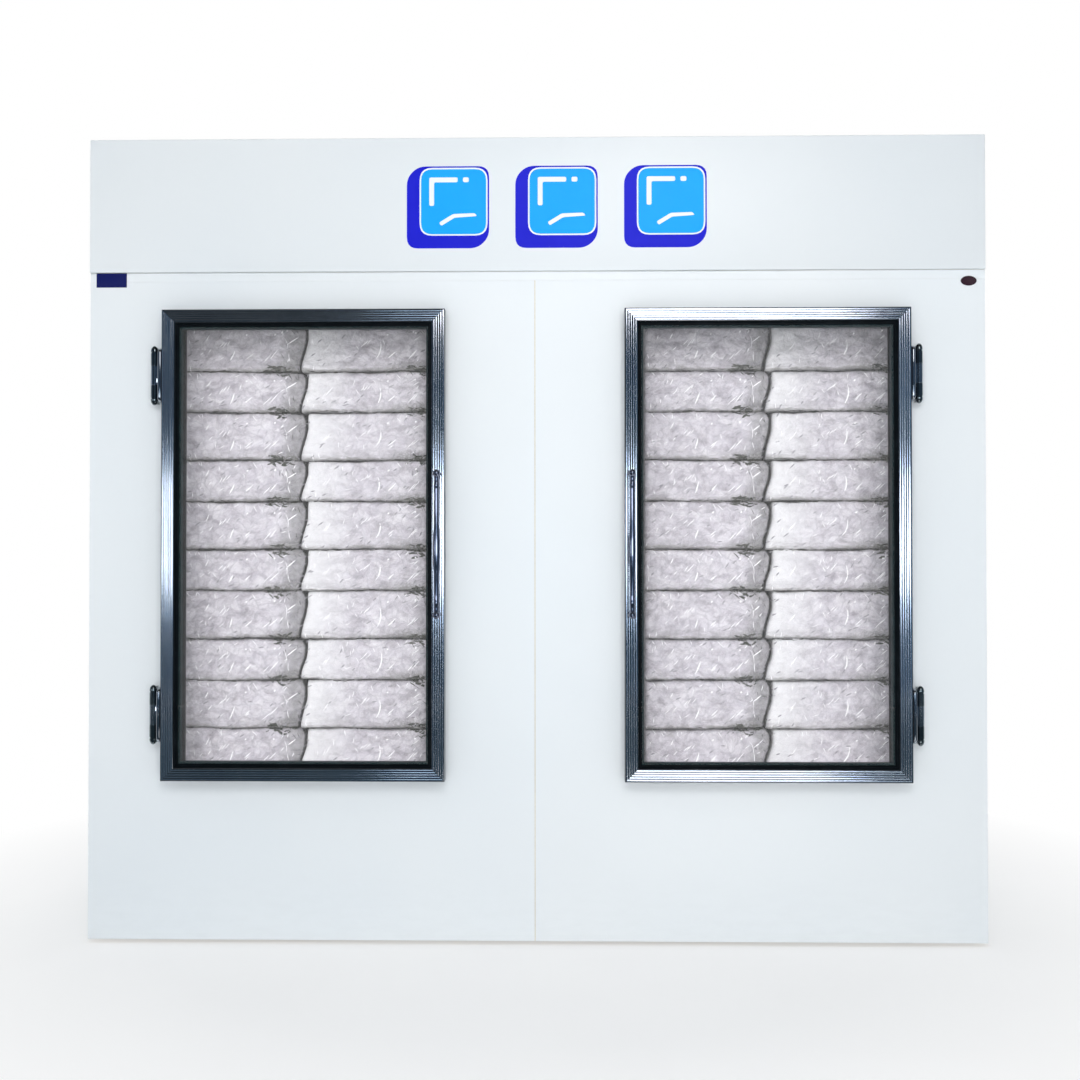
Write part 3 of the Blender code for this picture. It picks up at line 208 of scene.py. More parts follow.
def stain(tree, shader, colour, worn, scale, detail, low, high, most):
    """Let the base colour turn to a worn one in soft patches."""
    patches = rescale(tree, clouds(tree, object_place(tree), scale, detail), low, high, 0.0, most)
    feed(tree, shader, Base_Color=blend_colours(tree, patches, colour, worn))


def grain(tree, shader, scale, detail, depth, strength):
    """Fine even relief over the whole surface."""
    bumps(tree, shader, clouds(tree, object_place(tree), scale, detail), depth, strength)


def dress(surface, *names):
    """Give a finish to nodes that keep their shape."""
    for name in names:
        mesh = nodes[name].data
        mesh.materials.clear()
        mesh.materials.append(surface)


print("helpers are ready")

# %% [markdown]
# ## Room and light
# The cabinet was photographed against plain white. A white room lights it from all sides, and one
# wide lamp above and in front gives the soft fall-off towards the corners. White paint needs care:
# the lamps stay so low that it renders as written and doesn't clip.
# Chrome and polished aluminium show the room more than themselves. In an all-white room they would
# vanish. The photograph's rails tell what stood around the camera: they are white where they mirror a
# soft box behind it and slate where they mirror the dark studio beside and above it. So a bright card
# and dark cards stand there, seen by reflections alone. Sharp mirror rays pass through the bright ones,
# or each pane would show a white patch that the photograph doesn't have.

# %% Room
scene = bpy.context.scene
world = bpy.data.worlds.new("white room")
scene.world = world
world.use_nodes = True
room = world.node_tree
for old in list(room.nodes):
    room.nodes.remove(old)
path = put(room, "ShaderNodeLightPath")
first_hit = calculate(room, "LESS_THAN", path.outputs["Diffuse Depth"], 0.5)
seen = calculate(room, "MAXIMUM", path.outputs["Is Camera Ray"], path.outputs["Is Transmission Ray"])
seen = calculate(room, "MULTIPLY", seen, first_hit)
mirrored = calculate(room, "MULTIPLY", path.outputs["Is Glossy Ray"], first_hit)
soft_light = put(room, "ShaderNodeBackground", Color=(0.88, 0.95, 1.0, 1), Strength=0.48)
plain_white = put(room, "ShaderNodeBackground", Color=(1, 1, 1, 1), Strength=1.0)
heading = put(room, "ShaderNodeTexCoord").outputs["Generated"]
upward = put(room, "ShaderNodeSeparateXYZ", Vector=heading).outputs["Z"]
ceiling_dim = rescale(room, upward, 0.12, 0.50, 1.0, 0.10)
mirror_room = put(room, "ShaderNodeBackground", Color=(0.97, 0.985, 1.0, 1), Strength=ceiling_dim)
either = put(room, "ShaderNodeMixShader", i0=mirrored, i1=soft_light.outputs[0], i2=mirror_room.outputs[0])
either = put(room, "ShaderNodeMixShader", i0=seen, i1=either.outputs[0], i2=plain_white.outputs[0])
put(room, "ShaderNodeOutputWorld", Surface=either.outputs[0])
print("the room is set")

# %% [markdown]
# ## Lamps
# A studio lights a white cabinet with broad soft boxes, because a small lamp would leave a hard glare
# on the paint. An area lamp is such a box: the wider it is, the softer its light. Mirrors and panes
# don't show the lamps in front. What the chrome mirrors is placed on its own, as cards.

# %% Lamps
def panel_lamp(name, place, aim, size, power, colour=(1, 1, 1)):
    """A flat rectangular lamp that points at a spot; mirrors and glass don't show it."""
    data = bpy.data.lights.new(name, "AREA")
    data.shape = "RECTANGLE"
    data.size, data.size_y = size
    data.energy = power
    data.color = colour
    lamp = bpy.data.objects.new(name, data)
    lamp.location = place
    lamp.rotation_euler = (Vector(aim) - Vector(place)).to_track_quat("-Z", "Y").to_euler()
    lamp.visible_transmission = lamp.visible_glossy = False
    scene.collection.objects.link(lamp)
    return lamp


panel_lamp("front lamp", (0.0, -4.4, 3.2), (0.0, -0.4, 1.05), (2.4, 1.4), 55)
panel_lamp("low fill", (0.3, -4.6, 1.0), (0.1, -0.4, 0.9), (2.4, 1.0), 42)
panel_lamp("left lamp", (-4.2, -1.2, 2.6), (0, 0, 1.0), (1.6, 2.2), 13, (0.86, 0.94, 1.0))
panel_lamp("right lamp", (4.2, -0.6, 2.6), (0, 0, 1.0), (1.6, 2.2), 7, (0.92, 0.97, 1.0))
panel_lamp("rear lamp", (0.0, 4.2, 3.2), (0, 0.4, 1.2), (3.0, 1.6), 60).visible_glossy = True
print("five lamps are in place")

# %% [markdown]
# ## Floor and cards
# The cabinet stands on a white sweep without a visible edge. A floor and a wall would show where they
# meet, so one wide floor fades to the plain white of the room and keeps the soft shadow near the
# cabinet. The cards are flat faces where soft boxes and dark studio walls stood, and only reflections
# see them.

# %% Floor and cards
def flat_mesh(name, corners, surface):
    """One flat face between these corners."""
    mesh = bpy.data.meshes.new(name)
    mesh.from_pydata(corners, [], [list(range(len(corners)))])
    mesh.materials.append(surface)
    made = bpy.data.objects.new(name, mesh)
    scene.collection.objects.link(made)
    return made


floor_finish, tree, shader = start_material(
    "pale floor", (0.9, 0.9, 0.9), Roughness=0.8, Specular_IOR_Level=0.2
)
speck = clouds(tree, object_place(tree), 3.0)
floor_colour = ramp(tree, speck, (0.3, (0.90, 0.90, 0.905)), (0.7, (0.93, 0.93, 0.93)))
feed(tree, shader, Base_Color=floor_colour)
spot = put(tree, "ShaderNodeTexCoord").outputs["Object"]
away = put(tree, "ShaderNodeVectorMath", {"operation": "LENGTH"}, i0=spot).outputs["Value"]
far_off = rescale(tree, away, 1.1, 2.2, 0.5, 1.0)
rays = put(tree, "ShaderNodeLightPath")
straight = calculate(tree, "MAXIMUM", rays.outputs["Is Camera Ray"], rays.outputs["Is Transmission Ray"])
straight = calculate(tree, "MAXIMUM", straight, rays.outputs["Is Glossy Ray"])
whiten = times(tree, far_off, straight)
bright = put(tree, "ShaderNodeEmission", Color=(1, 1, 1, 1), Strength=1.0)
ground = put(tree, "ShaderNodeMixShader", i0=whiten, i1=shader.outputs[0], i2=bright.outputs[0])
show(tree, ground)
floor = flat_mesh("floor", [(-9, -9, 0), (9, -9, 0), (9, 9, 0), (-9, 9, 0)], floor_finish)


def card(name, colour, strength, corners):
    """A card that only reflections see, with a slow drift of tone."""
    made, tree, shader = start_material(name, colour)
    haze = clouds(tree, object_place(tree), 0.9, 2.0)
    drift = ramp(tree, haze, (0.3, tuple(c * 0.85 for c in colour)), (0.7, colour))
    glow = put(tree, "ShaderNodeEmission", Color=drift, Strength=strength)
    if strength > 1.5:
        sharp = put(tree, "ShaderNodeLightPath").outputs["Is Singular Ray"]
        clear = put(tree, "ShaderNodeBsdfTransparent")
        glow = put(tree, "ShaderNodeMixShader", i0=sharp, i1=glow.outputs[0], i2=clear.outputs[0])
    show(tree, glow)
    piece = flat_mesh(name, corners, made)
    for ray in ("camera", "diffuse", "transmission", "shadow"):
        setattr(piece, f"visible_{ray}", False)


def upright_card(name, colour, strength, x_low, x_high, y, z_low, z_high):
    card(
        name, colour, strength,
        [(x_low, y, z_low), (x_high, y, z_low), (x_high, y, z_high), (x_low, y, z_high)]
    )


CARD_TOP = 5.2
CARD_FOOT = 0.02
FAR_Y = -5.6
SLATE = (0.020, 0.030, 0.038)
DUSK = (0.085, 0.130, 0.190)
BOX_WHITE = (0.88, 0.94, 1.0)
upright_card("dark_front", SLATE, 1.0, -3.4, 3.6, FAR_Y, CARD_FOOT, CARD_TOP)
for name, x, near in (("dark_left", -5.2, -0.8), ("dark_right", 5.4, -0.1)):
    for piece, (x_end, y_end) in ((name, (x, near)), (f"{name}_corner", (x * 0.6, FAR_Y - 0.01))):
        card(
            piece, DUSK, 1.0,
            [
                (x, FAR_Y, CARD_FOOT), (x_end, y_end, CARD_FOOT), (x_end, y_end, CARD_TOP),
                (x, FAR_Y, CARD_TOP)
            ]
        )
upright_card("dusk_above", DUSK, 1.0, -0.45, 3.6, FAR_Y + 0.02, 1.90, CARD_TOP)
upright_card("dusk_below", DUSK, 1.0, -0.45, 3.6, FAR_Y + 0.02, CARD_FOOT, 0.62)
upright_card("soft_box", BOX_WHITE, 6.0, -0.34, 1.98, -5.37, 0.82, 1.55)
upright_card("soft_box_rim", (0.62, 0.80, 1.0), 1.7, -1.10, 2.06, -5.38, 0.62, 1.72)
upright_card("high_box", (1.0, 0.99, 0.99), 4.0, -0.10, 2.08, -5.40, 2.62, 5.1)
upright_card("side_box", BOX_WHITE, 6.0, -5.15, -3.45, -5.55, 0.79, 1.60)
for name, colour, strength, z, corners in (
    (
        "dark_floor", (0.050, 0.075, 0.098), 1.0, 0.004,
        ((-5.2, FAR_Y), (5.4, FAR_Y), (5.4, -0.75), (-5.2, -0.75))
    ),
    (
        "floor_glow", (1.0, 0.98, 0.98), 2.2, 0.006,
        ((0.38, -2.6), (1.06, -2.6), (0.98, -1.15), (0.30, -1.15))
    ),
    (
        "floor_glow_end", (0.80, 0.92, 1.0), 0.6, 0.006,
        ((1.06, -2.6), (1.60, -2.6), (1.40, -1.15), (0.98, -1.15))
    ),
):
    card(name, colour, strength, [(x, y, z) for x, y in corners])
print("five lamps, a floor and the cards that reflections see")

# %% [markdown]
# ## White painted sheet
# The outside is steel sheet with baked white enamel. It is never one flat white: it has a slow drift
# of tone, a fine orange peel that breaks up reflections, and a little grey where shoes, mops and
# hands reach it. All of it comes from the place on the object in metres, so that neighbouring sheets
# carry on into each other.

# %% White paint
def white_paint(name, tone=1.0):
    """Baked enamel; a tone below 1 gives a slightly greyer coat."""
    made, tree, shader = start_material(name, (0.84, 0.87, 0.885), Roughness=0.32, Specular_IOR_Level=0.35)
    place = object_place(tree)
    drift = clouds(tree, place, 1.3, 2.0)
    shades = [tuple(c * tone for c in shade) for shade in ((0.828, 0.862, 0.886), (0.862, 0.884, 0.896))]
    colour = ramp(tree, drift, (0.30, shades[0]), (0.70, shades[1]))
    low = rescale(tree, coordinates(tree)["Z"], 0.22, 0.01, 0.0, 0.10)
    scuffs = clouds(tree, object_place(tree, (1, 1, 3)), 14.0, 6.0, 0.65)
    marks = times(tree, low, rescale(tree, scuffs, 0.42, 0.72, 0.0, 1.0))
    colour = blend_colours(tree, marks, colour, (0.60, 0.615, 0.62))
    feed(tree, shader, Base_Color=colour)
    film = clouds(tree, place, 9.0, 4.0)
    feed(tree, shader, Roughness=rescale(tree, film, 0.3, 0.7, 0.30, 0.36))
    peel = clouds(tree, place, 420.0, 1.0)
    wave = clouds(tree, place, 3.0, 1.0)
    height = calculate(tree, "ADD", times(tree, peel, 0.03), wave)
    bumps(tree, shader, height, 0.0012, 0.35)
    return made


paint = white_paint("white paint")
dress(
    paint, "front_skin_left", "front_skin_right", "front_top_trim", "outer_wrap", "compartment_lid",
    "compartment_side_left", "compartment_side_right", "rear_grille"
)
print("paint on eight sheets")

# %% [markdown]
# ## Pieces from profiles
# Most pieces of a cabinet are one of three kinds. A section carried round a rectangle gives frames
# and gaskets, a section turned round an axis gives handles and knuckles, and a box with soft edges
# gives plates. Three helpers make them as clean meshes with their place in their points.

# %% Helpers for meshes
WELD = 0.000005


def finish_mesh(name, shape, surface, smooth_below=35):
    """Turn a bmesh into an object with outward faces, smooth wherever faces meet at less than the angle."""
    bmesh.ops.remove_doubles(shape, verts=shape.verts, dist=WELD)
    bmesh.ops.recalc_face_normals(shape, faces=shape.faces)
    limit = math.radians(smooth_below)
    for face in shape.faces:
        face.smooth = True
    for edge in shape.edges:
        edge.smooth = not edge.seam and len(edge.link_faces) == 2 and edge.calc_face_angle(0.0) < limit
    mesh = bpy.data.meshes.new(name)
    shape.to_mesh(mesh)
    shape.free()
    mesh.materials.append(surface)
    made = bpy.data.objects.new(name, mesh)
    scene.collection.objects.link(made)
    return made


def settle(piece, body, replaced=()):
    """Hang a piece on its body and hide the nodes that it stands for."""
    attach(piece, body)
    if replaced:
        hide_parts(*replaced)
    return piece


def skin_rings(shape, rings, close=True, caps=False):
    """Faces between neighbouring rings of points, and over the ends where asked."""
    for lower, upper in zip(rings, rings[1:]):
        count = len(lower)
        for step in range(count if close else count - 1):
            follow = (step + 1) % count
            shape.faces.new((lower[step], lower[follow], upper[follow], upper[step]))
    if caps:
        shape.faces.new(list(reversed(rings[0])))
        shape.faces.new(rings[-1])
    return shape


def add_loft(shape, rings):
    """Skin rings of plain points and close both ends."""
    return skin_rings(shape, [[shape.verts.new(point) for point in ring] for ring in rings], caps=True)


print("helpers for sections are ready")

# %% [markdown]
# ## Turned and carried shapes
# Knobs, pulls, pots and screws come from a lathe, and door frames are one section carried round four
# mitred corners. Each could be built from primitives and cut to shape, but cuts leave untidy faces.
# Turning a profile, or carrying a section, gives clean rows of faces that shade smoothly.

# %% Helpers for turned and carried shapes
def add_turned(shape, profile, centre, axis, sides=32):
    """Turn (radius, along) points round an axis; a radius of zero gives a tip."""
    turn = Vector((0, 0, 1)).rotation_difference(Vector(axis)).to_matrix()
    rings = []
    for radius, along in profile:
        if radius < 1e-7:
            rings.append([shape.verts.new(Vector(centre) + turn @ Vector((0, 0, along)))])
            continue
        rings.append(
            [
                shape.verts.new(Vector(centre) + turn @ Vector((*point, along)))
                for point in circle(radius, sides)
            ]
        )
    for lower, upper in zip(rings, rings[1:]):
        for step in range(sides):
            follow = (step + 1) % sides
            corners = []
            for ring, place in ((lower, step), (lower, follow), (upper, follow), (upper, step)):
                vert = ring[place % len(ring)]
                if vert not in corners:
                    corners.append(vert)
            if len(corners) > 2:
                shape.faces.new(corners)
    for end in (rings[0], rings[-1]):
        if len(end) > 1 and rings[0] is not rings[-1]:
            shape.faces.new(end)
    return shape


def add_box(shape, low, high, soft=0.0, steps=2):
    """A box between two corners, its edges rounded by the soft radius."""
    corners = bmesh.ops.create_cube(shape, size=1.0)["verts"]
    low, high = Vector(low), Vector(high)
    for vert in corners:
        vert.co = Vector(low[i] + (vert.co[i] + 0.5) * (high[i] - low[i]) for i in range(3))
    if soft:
        edges = {edge for vert in corners for edge in vert.link_edges}
        bmesh.ops.bevel(shape, geom=list(edges), offset=soft, segments=steps, profile=0.5, affect="EDGES")
    return shape


def carried_frame(name, middle, width, height, section, surface, smooth_below=40):
    """A mitred upright frame: a closed section of (inset, y) points carried round a rectangle.
    The mitres are marked, so that no shading is smoothed across them and down the rails."""
    shape = bmesh.new()
    loops = []
    for inset, y in section:
        half_x, half_z = width / 2 - inset, height / 2 - inset
        corners = ((-half_x, -half_z), (half_x, -half_z), (half_x, half_z), (-half_x, half_z))
        loops.append([shape.verts.new((middle[0] + x, y, middle[1] + z)) for x, z in corners])
    rail = shape.faces.layers.float.new("rail")
    for loop, following in zip(loops, loops[1:] + loops[:1]):
        for step in range(4):
            follow = (step + 1) % 4
            face = shape.faces.new((loop[step], loop[follow], following[follow], following[step]))
            face[rail] = 1.0 if step % 2 == 0 else 0.0
        for start, finish in zip(loop, following):
            shape.edges.get((start, finish)).seam = True
    return finish_mesh(name, shape, surface, smooth_below)


def arc(middle, radius, start, end, steps):
    """Points (a, b) on part of a circle, with angles in degrees."""
    points = []
    for step in range(steps + 1):
        angle = math.radians(start + (end - start) * step / steps)
        points.append((middle[0] + radius * math.cos(angle), middle[1] + radius * math.sin(angle)))
    return points


def circle(radius, sides, middle=(0.0, 0.0)):
    """Points (a, b) on a full circle."""
    return arc(middle, radius, 0, 360, sides)[:-1]


def rectangle(a_low, a_high, b_low, b_high):
    """The four corners (a, b) of a rectangle."""
    return [(a_low, b_low), (a_high, b_low), (a_high, b_high), (a_low, b_high)]


def spokes(angle):
    """In the upright plane across the cabinet: the way out at that angle, and the way round."""
    return Vector((math.cos(angle), 0, math.sin(angle))), Vector((-math.sin(angle), 0, math.cos(angle)))


def add_dome(shape, spot, axis, profile, sides):
    """A small head: (radius, along) points closed at both ends by tips on the axis."""
    return add_turned(shape, [(0.0, profile[0][1]), *profile, (0.0, profile[-1][1])], spot, axis, sides)


print("mesh helpers are ready")

# %% [markdown]
# ## Header
# The header is a shallow pan folded from one sheet. Its edges aren't sharp: the fold has a radius that
# draws a thin bright line along the lower edge. A bevel on a plain box gives that radius. Below it, the
# two front sheets meet in a seam, and the pale strip above the doors is a sheet of its own.

# %% Header pan
HEADER_SHEET = 0.0012
FOLD_RADIUS = 0.0022
low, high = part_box("header_panel")
shape = bmesh.new()
add_box(shape, (low.x, low.y, low.z), (high.x, high.y + 0.004, high.z), FOLD_RADIUS, 4)
for vert in shape.verts:
    vert.co.y = min(vert.co.y, high.y)
inside = [
    face for face in shape.faces if face.calc_center_median().y > high.y - 0.0005 and face.normal.y > 0.5
]
bmesh.ops.inset_region(shape, faces=inside, thickness=HEADER_SHEET)
bmesh.ops.translate(
    shape, verts=list({vert for face in inside for vert in face.verts}),
    vec=(0, low.y + HEADER_SHEET - high.y, 0)
)
header = finish_mesh("header_pan", shape, white_paint("header paint", tone=0.955), 40)
settle(header, "cabinet", ["header_panel"])
print("header pan is", round((high.z - low.z) * 1000), "mm tall")

# %% [markdown]
# ## Sign and plates
# Shops stick a film on the header that tells customers what the cabinet sells. Three blocks of ice
# say it here. Each is a rounded block seen from its corner, in sky blue with a white line inside its
# edge and a deep blue side. A painted texture would do, but thin plates, layered a seventh of a
# millimetre apart, have the fine edge that real film has.

# %% Ice block sign
def paler(colour, gain, lift):
    """The colour a little paler, for dust and wear."""
    return tuple(min(1.0, c * gain + lift) for c in colour)


def film_colour(name, colour):
    """Printed sign film, faintly dusty."""
    made, tree, shader = start_material(name, colour, Roughness=0.35, Specular_IOR_Level=0.10)
    stain(tree, shader, colour, paler(colour, 1.05, 0.004), 14.0, 4.0, 0.4, 0.75, 0.6)
    grain(tree, shader, 250.0, 2.0, 0.0002, 0.3)
    return made


sky_film = film_colour("sky blue film", (0.002, 0.40, 1.0))
deep_film = film_colour("deep blue film", (0.004, 0.006, 0.62))
white_film = film_colour("white film", (0.90, 0.93, 0.96))
SIGN_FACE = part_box("header_panel")[0].y
FILM_THICK = 0.00012
FILM_LAYER = 0.00014


def rounded_corner(before, corner, after, reach, steps):
    """A smooth bend that replaces a corner and starts that far away on both sides."""
    start = corner + (before - corner).normalized() * reach
    finish = corner + (after - corner).normalized() * reach
    shares = [step / steps for step in range(steps + 1)]
    return [start * (1 - t) ** 2 + corner * (2 * t * (1 - t)) + finish * t * t for t in shares]


def rounded_outline(points, radius, steps=5):
    """A closed outline with each corner turned into an arc."""
    points = [Vector(point) for point in points]
    made = []
    for before, point, after in zip(points[-1:] + points, points, points[1:] + points[:1]):
        reach = min(radius, (before - point).length / 2, (after - point).length / 2)
        made += rounded_corner(before, point, after, reach, steps)
    return made


def stick(name, outline, level, surface):
    """A thin film of that (x, z) outline on the header; a higher level lies on the ones below."""
    back_y = SIGN_FACE - level * FILM_LAYER
    levels = (back_y - 0.00002, back_y - FILM_THICK)
    shape = add_loft(bmesh.new(), [[(x, y, z) for x, z in outline] for y in levels])
    return settle(finish_mesh(name, shape, surface, 30), "cabinet", ())


BLOCK = 0.190
DROP = 0.030
BLOCK_FOOT = 1.853
BLOCK_MIDDLES = (-0.232, 0.058, 0.348)
for count, centre_x in enumerate(BLOCK_MIDDLES):
    x, z = centre_x + DROP / 2 - BLOCK / 2, BLOCK_FOOT + DROP
    face = rectangle(x, x + BLOCK, z, z + BLOCK)
    body = [(x - DROP, z - DROP), (x + BLOCK - DROP, z - DROP), (x + BLOCK, z)]
    body += [(x + BLOCK, z + BLOCK), (x, z + BLOCK), (x - DROP, z + BLOCK - DROP)]
    stick(f"ice_block_body_{count}", rounded_outline(body, 0.030), 0, deep_film)
    layers = ((0.004, white_film, 0.034), (0.008, sky_film, 0.030))
    for level, (inset, surface, radius) in enumerate(layers):
        ring = [
            (px + (inset if px == x else -inset), pz + (inset if pz == z else -inset)) for px, pz in face
        ]
        stick(f"ice_block_face_{count}_{level}", rounded_outline(ring, radius), level + 1, surface)
    corner = [
        (0.030, 0.084), (0.043, 0.084), (0.043, 0.147), (0.106, 0.147), (0.106, 0.160), (0.030, 0.160)
    ]
    edge = rectangle(0.120, 0.136, 0.147, 0.160)
    crack = [(0.062, 0.030), (0.098, 0.052), (0.158, 0.056), (0.152, 0.064), (0.094, 0.062), (0.056, 0.039)]
    for mark, glint in enumerate((corner, edge, crack)):
        outline = rounded_outline([(x + px, z + pz) for px, pz in glint], 0.005)
        stick(f"ice_block_glint_{count}_{mark}", outline, 3, white_film)

navy = film_colour("navy plate", (0.008, 0.012, 0.11))
dark_badge = film_colour("dark badge", (0.035, 0.014, 0.022))
trim_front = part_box("front_top_trim")[0].y
shape = bmesh.new()
add_box(shape, (-1.179, trim_front - 0.0011, 1.7535), (-1.097, trim_front - 0.0001, 1.7915), 0.0004)
settle(finish_mesh("bare_plate", shape, navy, 30), "cabinet", ())
BADGE_X, BADGE_Z = 1.152, 1.762
oval = [(0.021 * x, 0.013 * z) for x, z in circle(1.0, 40)]
levels = ((1.0, 0.0001), (1.0, 0.0008), (0.95, 0.0012), (0.80, 0.0012), (0.77, 0.0009))
rings = []
for scale, proud in levels:
    rings.append([(BADGE_X + x * scale, trim_front - proud, BADGE_Z + z * scale) for x, z in oval])
shape = add_loft(bmesh.new(), rings)
settle(finish_mesh("bare_badge", shape, dark_badge, 30), "cabinet", ())
print("the sign is", round(BLOCK_MIDDLES[-1] - BLOCK_MIDDLES[0] + BLOCK + DROP, 3), "m wide")

# %% [markdown]
# ## Door frames
# Each door is four lengths of aluminium, mitred at the corners, with five broad ribs along the face.
# A bump map could fake the ribs, but the way a rail turns from slate to white along its length is
# what the eye knows it by. That comes from slightly crowned lands, which smear the mirrored room
# across the rail but not along it. So the section is drawn land by land and carried round the door,
# and the mitres fall out by themselves.

# %% Ribbed frames
DOOR_MIDDLE = (0.612, 1.0615)
DOOR_SIZE = (0.750, 1.245)
DOOR_FRONT = -0.471
DOOR_BACK = -0.431
RAIL_FACE = 0.034
RIBS = 5
pack_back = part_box("inner_glass_left")[1].y + 0.0003


def rail_section():
    """The rail in (inset, y): a round outer edge, five crowned lands, a lip and the back."""
    points = arc((0.0014, DOOR_FRONT + 0.0022), 0.0014, 180, 262, 4)
    start, end = 0.0018, RAIL_FACE - 0.0016
    pitch = (end - start) / RIBS
    groove, crown = 0.0011, 0.00036
    for rib in range(RIBS):
        left, right = start + rib * pitch + groove / 2, start + (rib + 1) * pitch - groove / 2
        points.append((left - groove / 2, DOOR_FRONT + 0.0013))
        points.append((left, DOOR_FRONT + crown + 0.0004))
        for step in range(7):
            share = step / 6
            across = left + 0.0002 + (right - left - 0.0004) * share
            points.append((across, DOOR_FRONT + crown * (2 * share - 1) ** 2))
        points.append((right, DOOR_FRONT + crown + 0.0004))
    points.append((end, DOOR_FRONT + 0.0013))
    points += arc((RAIL_FACE - 0.0012, DOOR_FRONT + 0.0016), 0.0012, 285, 360, 3)
    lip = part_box("outer_glass_left")[0].y - 0.0003
    pocket = RAIL_FACE - 0.0083
    points += [(RAIL_FACE, lip), (pocket, lip), (pocket, pack_back), (RAIL_FACE, pack_back)]
    points += [(RAIL_FACE, DOOR_BACK), (0.0, DOOR_BACK)]
    return points


def brushed_aluminium(name, bright=(0.84, 0.88, 0.95), dark=(0.66, 0.71, 0.80)):
    """Anodised extrusion: fine drawn lines, a slow change of tone and painted shade in the grooves."""
    made, tree, shader = start_material(name, bright, Metallic=1.0, Roughness=0.22)
    along_x = clouds(tree, object_place(tree, (2, 900, 900)), 1.0, 3.0)
    along_z = clouds(tree, object_place(tree, (900, 900, 2)), 1.0, 3.0)
    rail = attribute(tree, "rail")
    turn = put(tree, "ShaderNodeMix", {"data_type": "FLOAT"}, i0=rail, i2=along_z, i3=along_x)
    lines = turn.outputs[0]
    drift = clouds(tree, object_place(tree), 6.0, 3.0)
    colour = blend_colours(tree, rescale(tree, drift, 0.35, 0.65, 0.0, 1.0), bright, dark)
    colour = blend_colours(tree, rescale(tree, lines, 0.3, 0.7, 0.0, 0.25), colour, (0.90, 0.93, 0.97))
    # Painted shade: the colour turns nearly black down in each groove between the ribs.
    groove = rescale(tree, coordinates(tree)["Y"], DOOR_FRONT + 0.0005, DOOR_FRONT + 0.0012, 0.0, 0.90)
    colour = blend_colours(tree, groove, colour, (0.012, 0.018, 0.030))
    feed(tree, shader, Base_Color=colour)
    feed(tree, shader, Roughness=rescale(tree, lines, 0.3, 0.7, 0.08, 0.16))
    bumps(tree, shader, lines, 0.0002, 0.20)
    return made


frame_metal = brushed_aluminium("anodised aluminium")
for hand, side in SIDES:
    ring = carried_frame(
        f"ribbed_frame_{hand}", (side * DOOR_MIDDLE[0], DOOR_MIDDLE[1]), *DOOR_SIZE, rail_section(),
        frame_metal
    )
    settle(ring, f"door_{hand}", [f"door_frame_{hand}"])
print("each frame has", len(ring.data.polygons), "faces")

# %% [markdown]
# ## Glass, gasket, spacer and seal
# A sealed unit is two panes with a dark spacer between them, held by a black rubber lip. The panes
# stay the solids of the model, so that their thickness bends the light as it does in the shop. Light
# from lamps would be stopped by refracting glass, so those rays alone see it as plain clear.
# The rubber lip and the magnetic seal get round sections, because black rubber is only ever seen by
# the highlight that runs along it. A thin dark strip lines the opening behind each door, as the
# heater strip does on real ones.

# %% Glass and rubber
def clear_glass(name, tint):
    """Glass with faint smears, which lets shadow rays straight through."""
    made, tree, shader = start_material(
        name, tint, Transmission_Weight=1.0, Roughness=0.0, IOR=1.40, Specular_IOR_Level=0.1
    )
    smear = clouds(tree, object_place(tree, (3, 3, 1.2)), 4.0, 5.0, 0.6)
    wiped = tuple(c * 0.98 for c in tint)
    share = rescale(tree, smear, 0.50, 0.80, 0.0, 1.0)
    feed(tree, shader, Base_Color=blend_colours(tree, share, tint, wiped))
    clear = put(tree, "ShaderNodeBsdfTransparent", Color=(*tint, 1))
    rays = put(tree, "ShaderNodeLightPath")
    in_shadow = rays.outputs["Is Shadow Ray"]
    show(tree, put(tree, "ShaderNodeMixShader", i0=in_shadow, i1=shader.outputs[0], i2=clear.outputs[0]))
    return made


def rubber(name, colour=(0.003, 0.005, 0.007), rough=0.42):
    """Black rubber with a pale bloom."""
    made, tree, shader = start_material(name, colour, Roughness=rough, Specular_IOR_Level=0.06)
    stain(tree, shader, colour, paler(colour, 1.6, 0.003), 30.0, 5.0, 0.45, 0.75, 0.7)
    grain(tree, shader, 900.0, 2.0, 0.0002, 0.4)
    return made


